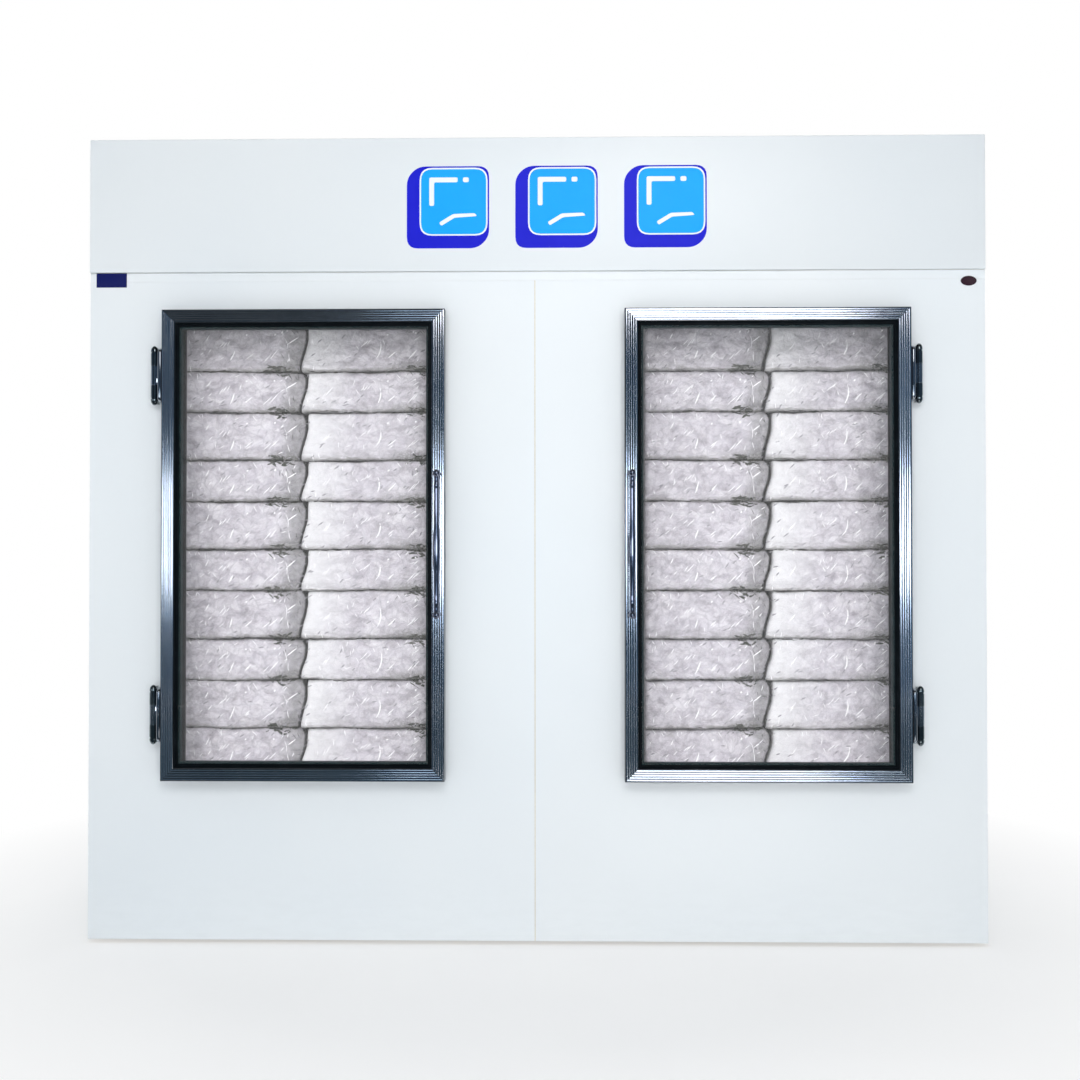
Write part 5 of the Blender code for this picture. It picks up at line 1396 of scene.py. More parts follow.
def tucked_film(dark, bags, bag, row, column):
    """The knot of folds in painted dark shadow at the lower corner of a bag."""
    for number in range(24):
        shift = noise.noise_vector(Vector((row * 4.1, number * 3.7, 2.0 if column == "left" else 6.0)))
        u = GATHERS[column] + 0.15 * shift.x
        v = 0.10 - 0.30 * abs(shift.y) - 0.07 * (number % 3 == 0)
        spot = on_bag(bag, min(u, 0.985), v)
        path = fold_path(
            *spot, -40 + 22 * (number % 4) + 40 * shift.z, 0.016 + 0.018 * abs(shift.x), 0.4 * shift.x
        )
        add_fold(dark, bags, path, 0.0030 + 0.0013 * (number % 4), 0.0006)


def film_folds(hand, bags):
    """The folds in painted highlight, the creases in painted shade and the gathers in painted shadow of one
    stack, as three shapes.
    """
    low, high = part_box(f"ice_bag_stack_{hand}")
    middle = (low.x + high.x) / 2
    bright, grey, dark = shapes = bmesh.new(), bmesh.new(), bmesh.new()
    for row in range(ROWS):
        for column, start, end in (("left", low.x, middle), ("right", middle, high.x)):
            bag = (start, end, seams[row], seams[row + 1] - seams[row])
            listed_folds(bright, bags, bag, row, hand, column)
            small_creases(bright, grey, bags, bag, row, hand)
            end_strokes(shapes, bags, bag, row, hand, column)
            if row > 0:
                seam_shadow_line(dark, bags, bag, row, column)
                tucked_film(dark, bags, bag, row, column)
    return shapes


print(len(FOLDS["left"]) + len(FOLDS["right"]), "bright folds for each pair of bags")

# %% [markdown]
# ## Film over ice
# The film is clear and glossy with milky ice behind it, so the colour is a soft mottle of lilac grey
# and white. Light and shade are painted into it as well: short bright strokes are painted highlights
# where small folds would catch a lamp, the cubes' facets and the gaps between them carry painted
# shade, where the columns meet one bag's end is painted lit and the other's painted shaded, and the
# lower part of each bag, its seam, the gap between columns and the knot of dark creases at the
# gathered corner carry painted shade and shadow. The loft left each point's share along and up its
# bag, so that these land in the same place on each bag, as they do in the shop.

# %% Finish of the bags
def ice_bag_film():
    """Glossy film over milky ice, with painted light and shade; the bag's own shares place its painted lit
    end, its painted shaded end and the painted shadows of its gathered corner.
    """
    made, tree, shader = start_material(
        "ice bag film", (0.8, 0.8, 0.83), Roughness=0.30, Specular_IOR_Level=0.4
    )
    place = object_place(tree)
    warp = put(tree, "ShaderNodeTexNoise", Vector=place, Scale=16.0, Detail=3.0)
    shift = put(
        tree, "ShaderNodeVectorMath", {"operation": "MULTIPLY_ADD"}, i0=warp.outputs["Color"],
        i1=(0.05, 0.05, 0.05), i2=place
    )
    bent = shift.outputs[0]
    share_x = attribute(tree, "share_x")
    share_z = attribute(tree, "share_z")
    tone = attribute(tree, "tone")
    mottle = clouds(tree, reshaped(tree, bent, Scale=(1, 1, 1.7)), 26.0, 8.0, 0.68)
    colour = ramp(
        tree, mottle, (0.33, (0.46, 0.435, 0.47)), (0.45, (0.66, 0.63, 0.67)), (0.56, (0.78, 0.755, 0.79)),
        (0.68, (0.90, 0.88, 0.91))
    )
    slanted = reshaped(tree, bent, Rotation=(0, 0.8, 0))
    # Painted highlights and shade: slanted streaks turn near white on one side and grey on the other, like
    # lit and shaded wrinkles.
    wrinkle_glint_and_shade = clouds(tree, reshaped(tree, slanted, Scale=(38, 38, 190)), 1.0, 5.0, 0.65)
    colour = blend_colours(tree, rescale(tree, wrinkle_glint_and_shade, 0.55, 0.68, 0.0, 0.45), colour, (0.95, 0.94, 0.96))
    colour = blend_colours(tree, rescale(tree, wrinkle_glint_and_shade, 0.45, 0.32, 0.0, 0.40), colour, (0.48, 0.46, 0.50))
    # Painted light and shade: each cube facet is a little lighter or darker, as if it faced the lamp or
    # turned away.
    facets = cell_pattern(tree, reshaped(tree, bent, Scale=(30, 30, 46)), 1.0, output="Color")
    facet_light_and_shade = ramp(
        tree, put(tree, "ShaderNodeSeparateColor", Color=facets).outputs["Red"], (0.0, (0.70, 0.68, 0.73)),
        (0.5, (0.92, 0.91, 0.94)), (1.0, (1, 1, 1))
    )
    colour = blend_colours(tree, 0.50, colour, facet_light_and_shade, "MULTIPLY")
    # Painted shade: the colour darkens along the cell edges, in the gaps between the ice cubes.
    cells = cell_pattern(tree, bent, 34.0, "DISTANCE_TO_EDGE")
    colour = blend_colours(tree, rescale(tree, cells, 0.0, 0.10, 0.45, 0.0), colour, (0.46, 0.45, 0.49))
    # Painted light and shade where the columns meet: the end of each right-hand bag is painted lit, and the
    # end of each left-hand bag, which turns away, painted shaded.
    right = calculate(tree, "GREATER_THAN", tone, 90.0)
    painted_lit_end = times(tree, right, rescale(tree, share_x, 0.02, 0.42, 0.86, 0.0))
    colour = blend_colours(tree, painted_lit_end, colour, (0.93, 0.935, 0.935))
    left = calculate(tree, "SUBTRACT", 1.0, right)
    painted_shaded_end = times(tree, left, rescale(tree, share_x, 0.78, 0.90, 0.0, 0.95))
    ragged = rescale(tree, clouds(tree, place, 60.0, 4.0), 0.35, 0.65, 0.55, 1.0)
    colour = blend_colours(tree, times(tree, painted_shaded_end, ragged), colour, (0.29, 0.285, 0.29))
    # Painted shadows: a net of nearly black lines in the crumpled lower corner towards each bag's end.
    along = rescale(tree, share_x, 0.62, 0.84, 0.0, 1.0)
    upward = rescale(tree, share_z, 0.24, 0.05, 0.0, 1.0)
    knot = times(tree, along, upward)
    creases = cell_pattern(tree, bent, 120.0, "DISTANCE_TO_EDGE")
    crease_shadow_lines = times(tree, knot, rescale(tree, creases, 0.0, 0.35, 1.0, 0.10))
    colour = blend_colours(tree, crease_shadow_lines, colour, (0.085, 0.09, 0.07))
    # Painted shade on the lower part of each bag, in grey streaks, and a painted shadow along the seam
    # under it.
    torn = rescale(tree, clouds(tree, object_place(tree, (1, 1, 2)), 48.0, 4.0), 0.35, 0.65, 0.0, 0.06)
    seam_shade_edge = calculate(tree, "SUBTRACT", share_z, torn)
    streaks = clouds(tree, object_place(tree, (1, 1, 5)), 30.0, 5.0, 0.6)
    lower_shade_band = times(
        tree, rescale(tree, share_z, 0.04, 0.26, 1.0, 0.0), rescale(tree, streaks, 0.40, 0.62, 0.10, 0.75)
    )
    colour = blend_colours(tree, lower_shade_band, colour, (0.44, 0.43, 0.44))
    colour = blend_colours(tree, rescale(tree, seam_shade_edge, 0.0, 0.045, 0.55, 0.0), colour, (0.20, 0.20, 0.18))
    # Painted shadow: a nearly black line at the end of each left-hand bag, in the gap between the columns.
    outline = times(tree, left, rescale(tree, share_x, 0.968, 0.980, 0.0, 1.0))
    colour = blend_colours(tree, outline, colour, (0.015, 0.015, 0.013))
    feed(tree, shader, Base_Color=colour)
    feed(tree, shader, Roughness=rescale(tree, mottle, 0.3, 0.7, 0.16, 0.42))
    bumps(tree, shader, clouds(tree, bent, 85.0, 5.0, 0.6), 0.007, 0.7)
    return made


for hand, side in SIDES:
    x, z = side * DOOR_MIDDLE[0], 0.97
    shelf_lamp = panel_lamp(
        f"shelf lamp {hand}", (x, -0.340, z), (x, 0.0, z), (0.64, 1.25), 1.80, (1.0, 0.97, 0.98)
    )
    shelf_lamp.visible_camera = False
film = ice_bag_film()
# The three finishes of the folds are painted light: white for highlights, grey for shade and near black for
# shadow.
glint_film = plastic("painted fold glints", (1.0, 1.0, 1.0), (0.90, 0.90, 0.92), 0.25)
# The highlight folds glow a little, as painted glints that seem to catch a lamp.
glinting = glint_film.node_tree.nodes["Principled BSDF"]
glinting.inputs["Emission Color"].default_value = (1, 1, 1, 1)
glinting.inputs["Emission Strength"].default_value = 0.14
crease_shade_film = plastic("painted crease shade", (0.33, 0.32, 0.35), (0.52, 0.51, 0.54), 0.35)
gather_shadow_film = plastic("painted gather shadow", (0.032, 0.036, 0.026), (0.14, 0.14, 0.12), 0.35)
for hand in ("left", "right"):
    piece, bags = bag_stack(hand, film)
    settle(piece, "cabinet", [f"ice_bag_stack_{hand}"])
    for name, surface, shape in zip(
        ("folds", "creases", "gathers"), (glint_film, crease_shade_film, gather_shadow_film), film_folds(hand, bags)
    ):
        settle(finish_mesh(f"film_{name}_{hand}", shape, surface, 60), "cabinet", ())
print("each stack has", len(piece.data.polygons), "faces")

# %% [markdown]
# ## Shapes that repeat
# A coil has over a hundred fins and the grille twenty-one slots. Placing each by hand would be slow and
# a texture would look flat from the side. Geometry nodes place one shape many times: one tree makes a
# pack of waved fins, one stamps a small shape on marked points, one draws the rings of a wire guard.
# The result is kept as a plain mesh and the nodes are taken off again.

# %% Trees that repeat a shape
def start_tree(name, plugs):
    """An empty geometry tree with these inputs, and the nodes at its two ends."""
    tree = bpy.data.node_groups.new(name, "GeometryNodeTree")
    tree.interface.new_socket(name="Geometry", in_out="INPUT", socket_type="NodeSocketGeometry")
    for plug, kind in plugs.items():
        tree.interface.new_socket(name=plug, in_out="INPUT", socket_type=f"NodeSocket{kind}")
    tree.interface.new_socket(name="Geometry", in_out="OUTPUT", socket_type="NodeSocketGeometry")
    return tree, tree.nodes.new("NodeGroupInput"), tree.nodes.new("NodeGroupOutput")


def end_tree(tree, given, out, last):
    """Give the shape its finish and send it to the output."""
    dressed = put(
        tree, "GeometryNodeSetMaterial", Geometry=last.outputs[0], Material=given.outputs["Surface"]
    )
    tree.links.new(dressed.outputs[0], out.inputs["Geometry"])
    return tree


def run_tree(name, tree, values, base=None):
    """Run a tree on a carrier, keep the plain mesh that comes out and take the modifier off."""
    carrier = bpy.data.objects.new(name, base or bpy.data.meshes.new(name))
    scene.collection.objects.link(carrier)
    modifier = carrier.modifiers.new("repeat", "NODES")
    for item in tree.interface.items_tree:
        if item.in_out == "INPUT" and item.name in values:
            modifier.node_group = modifier.node_group or tree
            modifier[item.identifier] = values[item.name]
    graph = bpy.context.evaluated_depsgraph_get()
    made = bpy.data.meshes.new_from_object(carrier.evaluated_get(graph), depsgraph=graph)
    carrier.modifiers.remove(modifier)
    carrier.data = made
    return carrier


print("trees can be started and run")

# %% [markdown]
# ## The three trees
# Fins stand in a row, louvre lips and screws sit on chosen points, and a wire guard is a set of rings.
# A loop in Python could make all of these, one by one. A tree describes the pattern once, and Blender
# repeats it at full speed, with the count, the step and the finish as inputs.

# %% Trees for fins, stamps and rings
def fin_tree():
    """A row of thin fins, each waved like a pressed one."""
    tree, given, out = start_tree(
        "pack of fins",
        {"Count": "Int", "Start": "Vector", "Step": "Vector", "Size": "Vector", "Surface": "Material"}
    )
    line = put(
        tree, "GeometryNodeMeshLine", Count=given.outputs["Count"], i2=given.outputs["Start"],
        i3=given.outputs["Step"]
    )
    fin = put(tree, "GeometryNodeMeshCube", Size=given.outputs["Size"], i1=2, i2=9, i3=2)
    spot = put(tree, "ShaderNodeSeparateXYZ", i0=put(tree, "GeometryNodeInputPosition").outputs[0])
    phase = put(
        tree, "ShaderNodeMath", {"operation": "MULTIPLY"}, i0=spot.outputs["Y"], i1=math.tau / 0.016
    )
    wave = put(tree, "ShaderNodeMath", {"operation": "SINE"}, i0=phase.outputs[0])
    wave = put(tree, "ShaderNodeMath", {"operation": "MULTIPLY"}, i0=wave.outputs[0], i1=0.0004)
    shift = put(tree, "ShaderNodeCombineXYZ", i0=wave.outputs[0])
    waved = put(tree, "GeometryNodeSetPosition", Geometry=fin.outputs["Mesh"], Offset=shift.outputs[0])
    many = put(tree, "GeometryNodeInstanceOnPoints", Points=line.outputs[0], Instance=waved.outputs[0])
    real = put(tree, "GeometryNodeRealizeInstances", Geometry=many.outputs[0])
    return end_tree(tree, given, out, real)


def stamp_tree():
    """One object on every point, turned along the point's facing."""
    tree, given, out = start_tree("stamp on points", {"Item": "Object", "Surface": "Material"})
    facing = put(tree, "GeometryNodeInputNamedAttribute", {"data_type": "FLOAT_VECTOR"}, Name="facing")
    turn = put(tree, "FunctionNodeAlignRotationToVector", {"axis": "Z"}, Vector=facing.outputs[0])
    item = put(tree, "GeometryNodeObjectInfo", Object=given.outputs["Item"])
    many = put(
        tree, "GeometryNodeInstanceOnPoints", Points=given.outputs["Geometry"],
        Instance=item.outputs["Geometry"], Rotation=turn.outputs[0]
    )
    real = put(tree, "GeometryNodeRealizeInstances", Geometry=many.outputs[0])
    return end_tree(tree, given, out, real)


def ring_tree():
    """Rings of round wire round one centre, each wider by a step."""
    tree, given, out = start_tree(
        "rings of wire",
        {
            "Count": "Int", "First": "Float", "Step": "Float", "Wire": "Float", "Centre": "Vector",
            "Surface": "Material"
        }
    )
    spots = put(tree, "GeometryNodePoints", Count=given.outputs["Count"], Position=given.outputs["Centre"])
    number = put(tree, "GeometryNodeInputIndex")
    grow = put(
        tree, "ShaderNodeMath", {"operation": "MULTIPLY_ADD"}, i0=number.outputs[0],
        i1=given.outputs["Step"], i2=given.outputs["First"]
    )
    circle = put(tree, "GeometryNodeCurvePrimitiveCircle", Resolution=40, Radius=1.0)
    many = put(
        tree, "GeometryNodeInstanceOnPoints", Points=spots.outputs[0], Instance=circle.outputs[0],
        Rotation=(math.pi / 2, 0, 0), Scale=grow.outputs[0]
    )
    real = put(tree, "GeometryNodeRealizeInstances", Geometry=many.outputs[0])
    section = put(tree, "GeometryNodeCurvePrimitiveCircle", Resolution=6, Radius=given.outputs["Wire"])
    swept = put(tree, "GeometryNodeCurveToMesh", Curve=real.outputs[0], i1=section.outputs[0])
    return end_tree(tree, given, out, swept)


FINS, STAMPS, RINGS = fin_tree(), stamp_tree(), ring_tree()


def stamp(name, item, surface, spots):
    """Copies of one piece at (place, facing) spots, its own z along facing; the piece itself is used up."""
    mesh = bpy.data.meshes.new(f"{name}_spots")
    mesh.from_pydata([place for place, facing in spots], [], [])
    marks = mesh.attributes.new("facing", "FLOAT_VECTOR", "POINT")
    for mark, (place, facing) in zip(marks.data, spots):
        mark.vector = facing
    made = run_tree(name, STAMPS, {"Item": item, "Surface": surface}, mesh)
    bpy.data.objects.remove(item, do_unlink=True)
    return made


print("three trees are ready")

# %% [markdown]
# ## Tubes and fans
# Copper lines, bends and wires are tubes along a path: a ring of points at each stop, square to the
# way ahead. A fan blade could be a flat plate, but real ones are pressed with a twist, a curved leading
# edge and a round tip, and that catches light in a sweep. So each blade is drawn as a small grid from
# hub to tip, given a front and a back, and turned five times round the hub.

# %% Tubes
def add_tube(shape, points, radius, sides=10):
    """A tube of that radius along the points, with closed ends."""
    points = [Vector(point) for point in points]
    across = None
    rings = []
    for here, point in enumerate(points):
        ahead = (points[min(here + 1, len(points) - 1)] - points[max(here - 1, 0)]).normalized()
        if across is None:
            across = ahead.orthogonal()
        across = (across - ahead * across.dot(ahead)).normalized()
        other = ahead.cross(across)
        rings.append([point + across * a + other * b for a, b in circle(radius, sides)])
    return add_loft(shape, rings)


def bent_path(corners, bend, steps=6):
    """The corners of a path with each inner one turned into a smooth bend."""
    corners = [Vector(corner) for corner in corners]
    path = [corners[0]]
    for before, corner, after in zip(corners, corners[1:], corners[2:]):
        path += rounded_corner(before, corner, after, bend, steps)
    return path + [corners[-1]]


print("tubes are ready")

# %% [markdown]
# ## Fans
# Each fan is moulded in one piece: a cupped hub with ribs and five blades that grow out of it. A blade
# is steeper near the hub, where it moves more slowly, so that it pushes the air evenly.

# %% Fans
def add_blade(shape, centre, tip_radius, turn):
    """One twisted blade; steeper and narrower at the hub, round at the tip."""
    steps, chords, thick = 9, 6, 0.0009
    root, root_chord, half_depth = 0.0205, 0.024, 0.0133
    fronts, backs = [], []
    for step in range(steps + 1):
        share = step / steps
        radius = root + (tip_radius - 0.0012 - root) * share
        pitch = math.radians(40 - 16 * share)
        chord = root_chord + (tip_radius * 0.50 - root_chord) * math.sin(
            math.pi / 2 * min(1.0, share * 1.25)
        )
        if share > 0.75:
            chord *= math.sqrt(max(0.10, 1 - ((share - 0.75) / 0.27) ** 2))
        lean = 0.34 * share * share
        front, back = [], []
        for part in range(chords + 1):
            t = part / chords - 0.5
            camber = 0.0030 * (1 - 4 * t * t)
            along = chord * t * math.sin(pitch) + camber
            angle = turn + lean + chord * t * math.cos(pitch) / radius
            along = max(-half_depth, min(half_depth, along))
            for side, offset in ((front, -thick), (back, thick)):
                side.append(
                    shape.verts.new(
                        Vector(centre) + Vector(
                            (radius * math.cos(angle), along + offset, radius * math.sin(angle))
                        )
                    )
                )
        fronts.append(front)
        backs.append(back)
    leading, trailing = ([[row[edge] for row in side] for side in (fronts, backs)] for edge in (0, -1))
    for strip in (
        fronts, [list(reversed(row)) for row in backs], leading, trailing[::-1], [fronts[0], backs[0]],
        [backs[-1], fronts[-1]]
    ):
        skin_rings(shape, strip, close=False)


def fan_piece(name, centre, tip_radius, to_motor, body):
    """Five blades round a cupped hub with ribs; the motor's side is +1 or -1 along y."""
    shape = bmesh.new()
    for blade in range(5):
        add_blade(shape, centre, tip_radius, math.tau * blade / 5)
    half = 0.014
    bore = [(0.0045, 0.0035), (0.0045, half - 0.0004), (0.0050, half)]
    hub = [(0.0, 0.0035)] + bore + [
        (0.0100, half), (0.0100, half - 0.0010), (0.0195, half - 0.0010), (0.0195, half), (0.0212, half)
    ]
    hub += [(0.0220, half - 0.0008), (0.0220, 0.0014 - half)] + [
        (0.0204 + p[0], p[1] + 0.0016 - half) for p in arc((0, 0), 0.0016, 0, -90, 3)
    ]
    hub += [(0.0120, -half), (0.0116, 0.0006 - half), (0.0, 0.0006 - half)]
    add_turned(shape, hub, centre, (0, to_motor, 0), 36)
    for rib in range(6):
        out, wide = spokes(math.tau * rib / 6)
        rings = []
        for along in (half - 0.0012, half - 0.0002):
            level = Vector(centre) + Vector((0, to_motor * along, 0))
            rings.append(
                [level + out * r + wide * s for r, s in rectangle(0.0101, 0.0194, -0.0006, 0.0006)]
            )
        add_loft(shape, rings)
    made = finish_mesh(f"{name}_blades", shape, fan_plastic, 32)
    settle(made, body, [name])
    return made


CONDENSER_FAN = (-0.250, 0.3739, 1.9718)
EVAPORATOR_FAN = (0.0, 0.0202, 1.655)
for name, centre, radius, to_motor in (
    ("condenser_fan", CONDENSER_FAN, 0.122, -1), ("evaporator_fan", EVAPORATOR_FAN, 0.085, 1)
):
    piece = fan_piece(name, centre, radius, to_motor, name)
    print(name, "has", len(piece.data.polygons), "faces")

# %% [markdown]
# ## Fan motors and the wire guard
# A shaded-pole motor is two pressed cups with a seam between them, a boss for the shaft and a bracket
# of bent strip. Turning a profile gives the cups with their rolled edges. The evaporator fan faces the
# shop, so fingers must stay out: a guard of steel rings on four legs stands in front of it. The ring
# tree draws all rings at once.

# %% Motors and guard
def motor_piece(name, fan_centre, away, foot):
    """Two cups, a shaft and a bent bracket down or up to foot; away is the motor's way along y."""
    x, fan_y, z = fan_centre
    face = fan_y + away * 0.020
    shape = bmesh.new()
    cup = [(0.0, -0.0002), (0.0046, -0.0002), (0.0120, 0.0004), (0.0128, 0.0022), (0.0300, 0.0028)]
    cup += [
        (0.0330 + 0.005 * math.sin(a), 0.0028 + 0.005 * (1 - math.cos(a))) for a in (0.4, 0.9, math.pi / 2)
    ]
    cup += [(0.038, 0.0318), (0.0372, 0.0326), (0.0372, 0.0344), (0.038, 0.0352), (0.038, 0.0640)]
    cup += [(0.0330 + 0.005 * math.cos(a), 0.0648 + 0.005 * math.sin(a)) for a in (0.4, 0.9, math.pi / 2)]
    cup += [(0.0140, 0.0698), (0.0130, 0.0690), (0.0, 0.0690)]
    add_turned(shape, cup, (x, face, z), (0, away, 0), 40)
    add_dome(
        shape, (x, face, z), (0, away, 0), [(0.0036, -0.0262), (0.0040, -0.0256), (0.0040, -0.0001)], 20
    )
    inside = face + away * 0.035
    way = 1 if foot > z else -1
    low, high = sorted((z + way * 0.0375, foot - way * 0.001))
    add_box(shape, (x - 0.015, inside - 0.002, low), (x + 0.015, inside + 0.002, high), 0.0006)
    low, high = sorted((foot - way * 0.004, foot))
    add_box(shape, (x - 0.025, inside - 0.015, low), (x + 0.025, inside + 0.015, high), 0.0008)
    wide_end, slim_end = foot - way * 0.004, foot - way * 0.016
    gusset = [
        (inside - 0.013, wide_end), (inside + 0.013, wide_end), (inside + 0.002, slim_end),
        (inside - 0.002, slim_end)
    ]
    for side in (-1, 1):
        middle = x + side * 0.0140
        add_loft(shape, [[(px, y, z) for y, z in gusset] for px in (middle - 0.0008, middle + 0.0008)])
    for side in (-1, 1):
        spot = (x + side * 0.0195, inside, foot - way * 0.004)
        add_turned(
            shape, [(0.0, 0.0), (0.0036, 0.0), (0.0036, 0.0012), (0.0028, 0.0020), (0.0, 0.0022)], spot,
            (0, 0, -way), 12
        )
    made = finish_mesh(f"{name}_cups", shape, enamel, 34)
    return settle(made, "cabinet", [name])


motor_piece("condenser_fan_motor", CONDENSER_FAN, -1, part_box("condenser_fan_motor")[0].z)
motor_piece("evaporator_motor", EVAPORATOR_FAN, 1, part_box("evaporator_motor")[1].z)
housing_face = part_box("evaporator_housing")[0].y
guard_wire = bare_metal("guard wire", (0.70, 0.71, 0.73), (0.50, 0.51, 0.52), 0.25)
GUARD_Y = housing_face - 0.0175
GUARD_REACH = 0.0990
guard_middle = (EVAPORATOR_FAN[0], GUARD_Y, EVAPORATOR_FAN[2])
guard = run_tree(
    "guard_rings", RINGS,
    {
        "Count": 9, "First": 0.016, "Step": 0.010, "Wire": 0.0011, "Centre": guard_middle,
        "Surface": guard_wire
    }
)
for face in guard.data.polygons:
    face.use_smooth = True
settle(guard, "cabinet", ())
shape = bmesh.new()
for leg in range(4):
    out, _ = spokes(math.radians(45 + 90 * leg))
    hub = Vector(guard_middle) - Vector((0, 0.0020, 0))
    elbow = hub + out * GUARD_REACH
    foot = elbow + Vector((0, housing_face - 0.0006 - hub.y, 0))
    add_tube(shape, bent_path([hub + out * 0.012, elbow, foot], 0.005, 4), 0.0012, 8)
    add_dome(
        shape, foot + Vector((0, 0.0005, 0)), (0, -1, 0), [(0.006, 0.0), (0.006, 0.0004), (0.0054, 0.0010)],
        16
    )
settle(finish_mesh("guard_legs", shape, guard_wire, 40), "cabinet", ())
print("the guard has", len(guard.data.polygons), "faces in nine rings")

# %% [markdown]
# ## Coils
# Both coils are packs of thin aluminium fins on copper tubes, held by an end plate on each side. The
# tubes leave one plate, turn in a U and go back in, which is the part that anybody sees. The fin tree
# makes the pack, and the bends are tubes on half ellipses. Short stubs meet the refrigerant lines.

# %% Condenser and evaporator coils
def coil_pieces(name, low, high, reach, pitch, rows, lines, stubs, top_lip=0.0):
    """A pack of fins, two end plates, U-bends beyond them, and stubs towards the lines."""
    left, right = low[0] + reach, high[0] - reach
    count = int((right - left - 0.004) / pitch)
    start = (left + right) / 2 - pitch * (count - 1) / 2
    middle_y, middle_z = (low[1] + high[1]) / 2, (low[2] + high[2]) / 2
    size = (0.0003, high[1] - low[1] - 0.001, high[2] - low[2] - 0.002)
    fins = run_tree(
        f"{name}_fins", FINS,
        {
            "Count": count, "Start": (start, middle_y, middle_z), "Step": (pitch, 0, 0), "Size": size,
            "Surface": fin_metal
        }
    )
    settle(fins, "cabinet", [name])
    shape = bmesh.new()
    for edge in (left, right):
        way = -1 if edge == left else 1
        add_box(
            shape, (edge - 0.0006, low[1], low[2]), (edge + 0.0006, high[1], high[2] + top_lip), 0.0003, 1
        )
        for z in (low[2] + 0.004, high[2] - 0.004):
            add_turned(
                shape, [(0.0, 0.0), (0.0028, 0.0), (0.0028, 0.0008), (0.0018, 0.0016), (0.0, 0.0017)],
                (edge + way * 0.0006, middle_y, z), (way, 0, 0), 10
            )
    settle(finish_mesh(f"{name}_plates", shape, sheet_aluminium, 30), "cabinet", ())
    shape = bmesh.new()
    tube = 0.0042
    for y in rows:
        for side, first in ((-1, 0), (1, 1)):
            edge = left if side < 0 else right
            for here in range(first, len(lines) - 1, 2):
                below, above = lines[here], lines[here + 1]
                half = (above - below) / 2
                points = [(edge - side * 0.002, y, below)]
                for step in range(11):
                    angle = math.pi * (step / 10 - 0.5)
                    points.append(
                        (
                            edge + side * (0.0015 + (reach - 0.0015 - tube - 0.0002) * math.cos(angle)), y,
                            (below + above) / 2 + half * math.sin(angle)
                        )
                    )
                points.append((edge - side * 0.002, y, above))
                add_tube(shape, points, tube, 12)
    for start, finish, radius in stubs:
        add_tube(shape, [start, finish], radius, 14)
        way = (Vector(finish) - Vector(start)).normalized()
        add_turned(
            shape, [(radius, 0.0), (radius + 0.0012, 0.0006), (radius + 0.0012, 0.0024), (radius, 0.0034)],
            Vector(start) + way * 0.0012, way, 14
        )
    settle(finish_mesh(f"{name}_bends", shape, tube_copper, 50), "cabinet", ())
    print(name, "has", count, "fins and", len(rows) * (len(lines) - 1), "bends")


fin_metal = bare_metal("fin metal", (0.80, 0.82, 0.85), (0.66, 0.68, 0.71), 0.32)
low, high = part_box("condenser_coil")
lines = [low.z + 0.018 + 0.0258 * k for k in range(10)]
stub_y, hot_z = 0.456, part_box("discharge_line")[1].z - 0.006
warm_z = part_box("liquid_line")[1].z - 0.006
stubs = [((high.x + 0.0001, stub_y, z), (high.x - 0.014, stub_y, z), 0.0060) for z in (hot_z, warm_z)]
coil_pieces(
    "condenser_coil", low, (high.x, high.y - 0.004, high.z - 0.004), 0.012, 0.003, (0.438, 0.474), lines,
    stubs, 0.004
)
low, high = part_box("evaporator_coil")
lines = [low.z + 0.016 + 0.0239 * k for k in range(10)]
cold_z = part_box("liquid_line")[0].z + 0.006
stubs = [
    ((-0.040, high.y + 0.0001, cold_z), (-0.040, high.y - 0.008, cold_z), 0.0060),
    ((0.040, high.y + 0.0001, cold_z), (0.040, high.y - 0.008, cold_z), 0.0078),
]
coil_pieces("evaporator_coil", low, high, 0.012, 0.004, (0.294, 0.324), lines, stubs)

# %% [markdown]
# ## Compressor and lines
# The compressor is a steel pot in two drawn halves, welded round the middle, which leaves a flange. It
# stands on a plate with a rubber foot in each corner. The copper lines run in easy bends. The hot line
# and the liquid line are bare, and the liquid line carries its filter drier, a spun pot. The cold
# suction line sweats, so it wears a sleeve of black foam and shows copper at its ends alone.

# %% Compressor
low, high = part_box("compressor")
pot = Vector(((low.x + high.x) / 2, (low.y + high.y) / 2, low.z))
shape = bmesh.new()
profile = [
    (0.0, 0.0075), (0.050, 0.0075), (0.066, 0.0105), (0.078, 0.0195), (0.0835, 0.032), (0.0845, 0.045),
    (0.0845, 0.0655)
]
profile += [
    (0.0868, 0.0672), (0.0880, 0.0690), (0.0880, 0.0712), (0.0868, 0.0728), (0.0850, 0.0738),
    (0.0850, 0.1590)
]
profile += [
    (0.085 * math.cos(a), 0.159 + 0.0505 * math.sin(a)) for a in [math.pi / 2 * k / 8 for k in range(1, 8)]
] + [(0.0, 0.2098)]
add_turned(shape, profile, pot, (0, 0, 1), 56)
settle(finish_mesh("compressor_pot", shape, enamel, 30), "cabinet", ["compressor"])
shape = bmesh.new()
plate = rounded_outline(rectangle(-0.095, 0.095, -0.095, 0.095), 0.018)
levels = ((1.0, 0.0020), (1.0, 0.0045), (0.994, 0.0052), (0.90, 0.0052))
add_loft(shape, [[(pot.x + x * s, pot.y + y * s, pot.z + z) for x, y in plate] for s, z in levels])
add_turned(shape, [(0.040, 0.0045), (0.056, 0.0045), (0.052, 0.0085), (0.040, 0.0085)], pot, (0, 0, 1), 32)
settle(finish_mesh("compressor_plate", shape, enamel, 30), "cabinet", ())
FEET = [(x, y) for x in (-0.078, 0.078) for y in (-0.078, 0.078)]
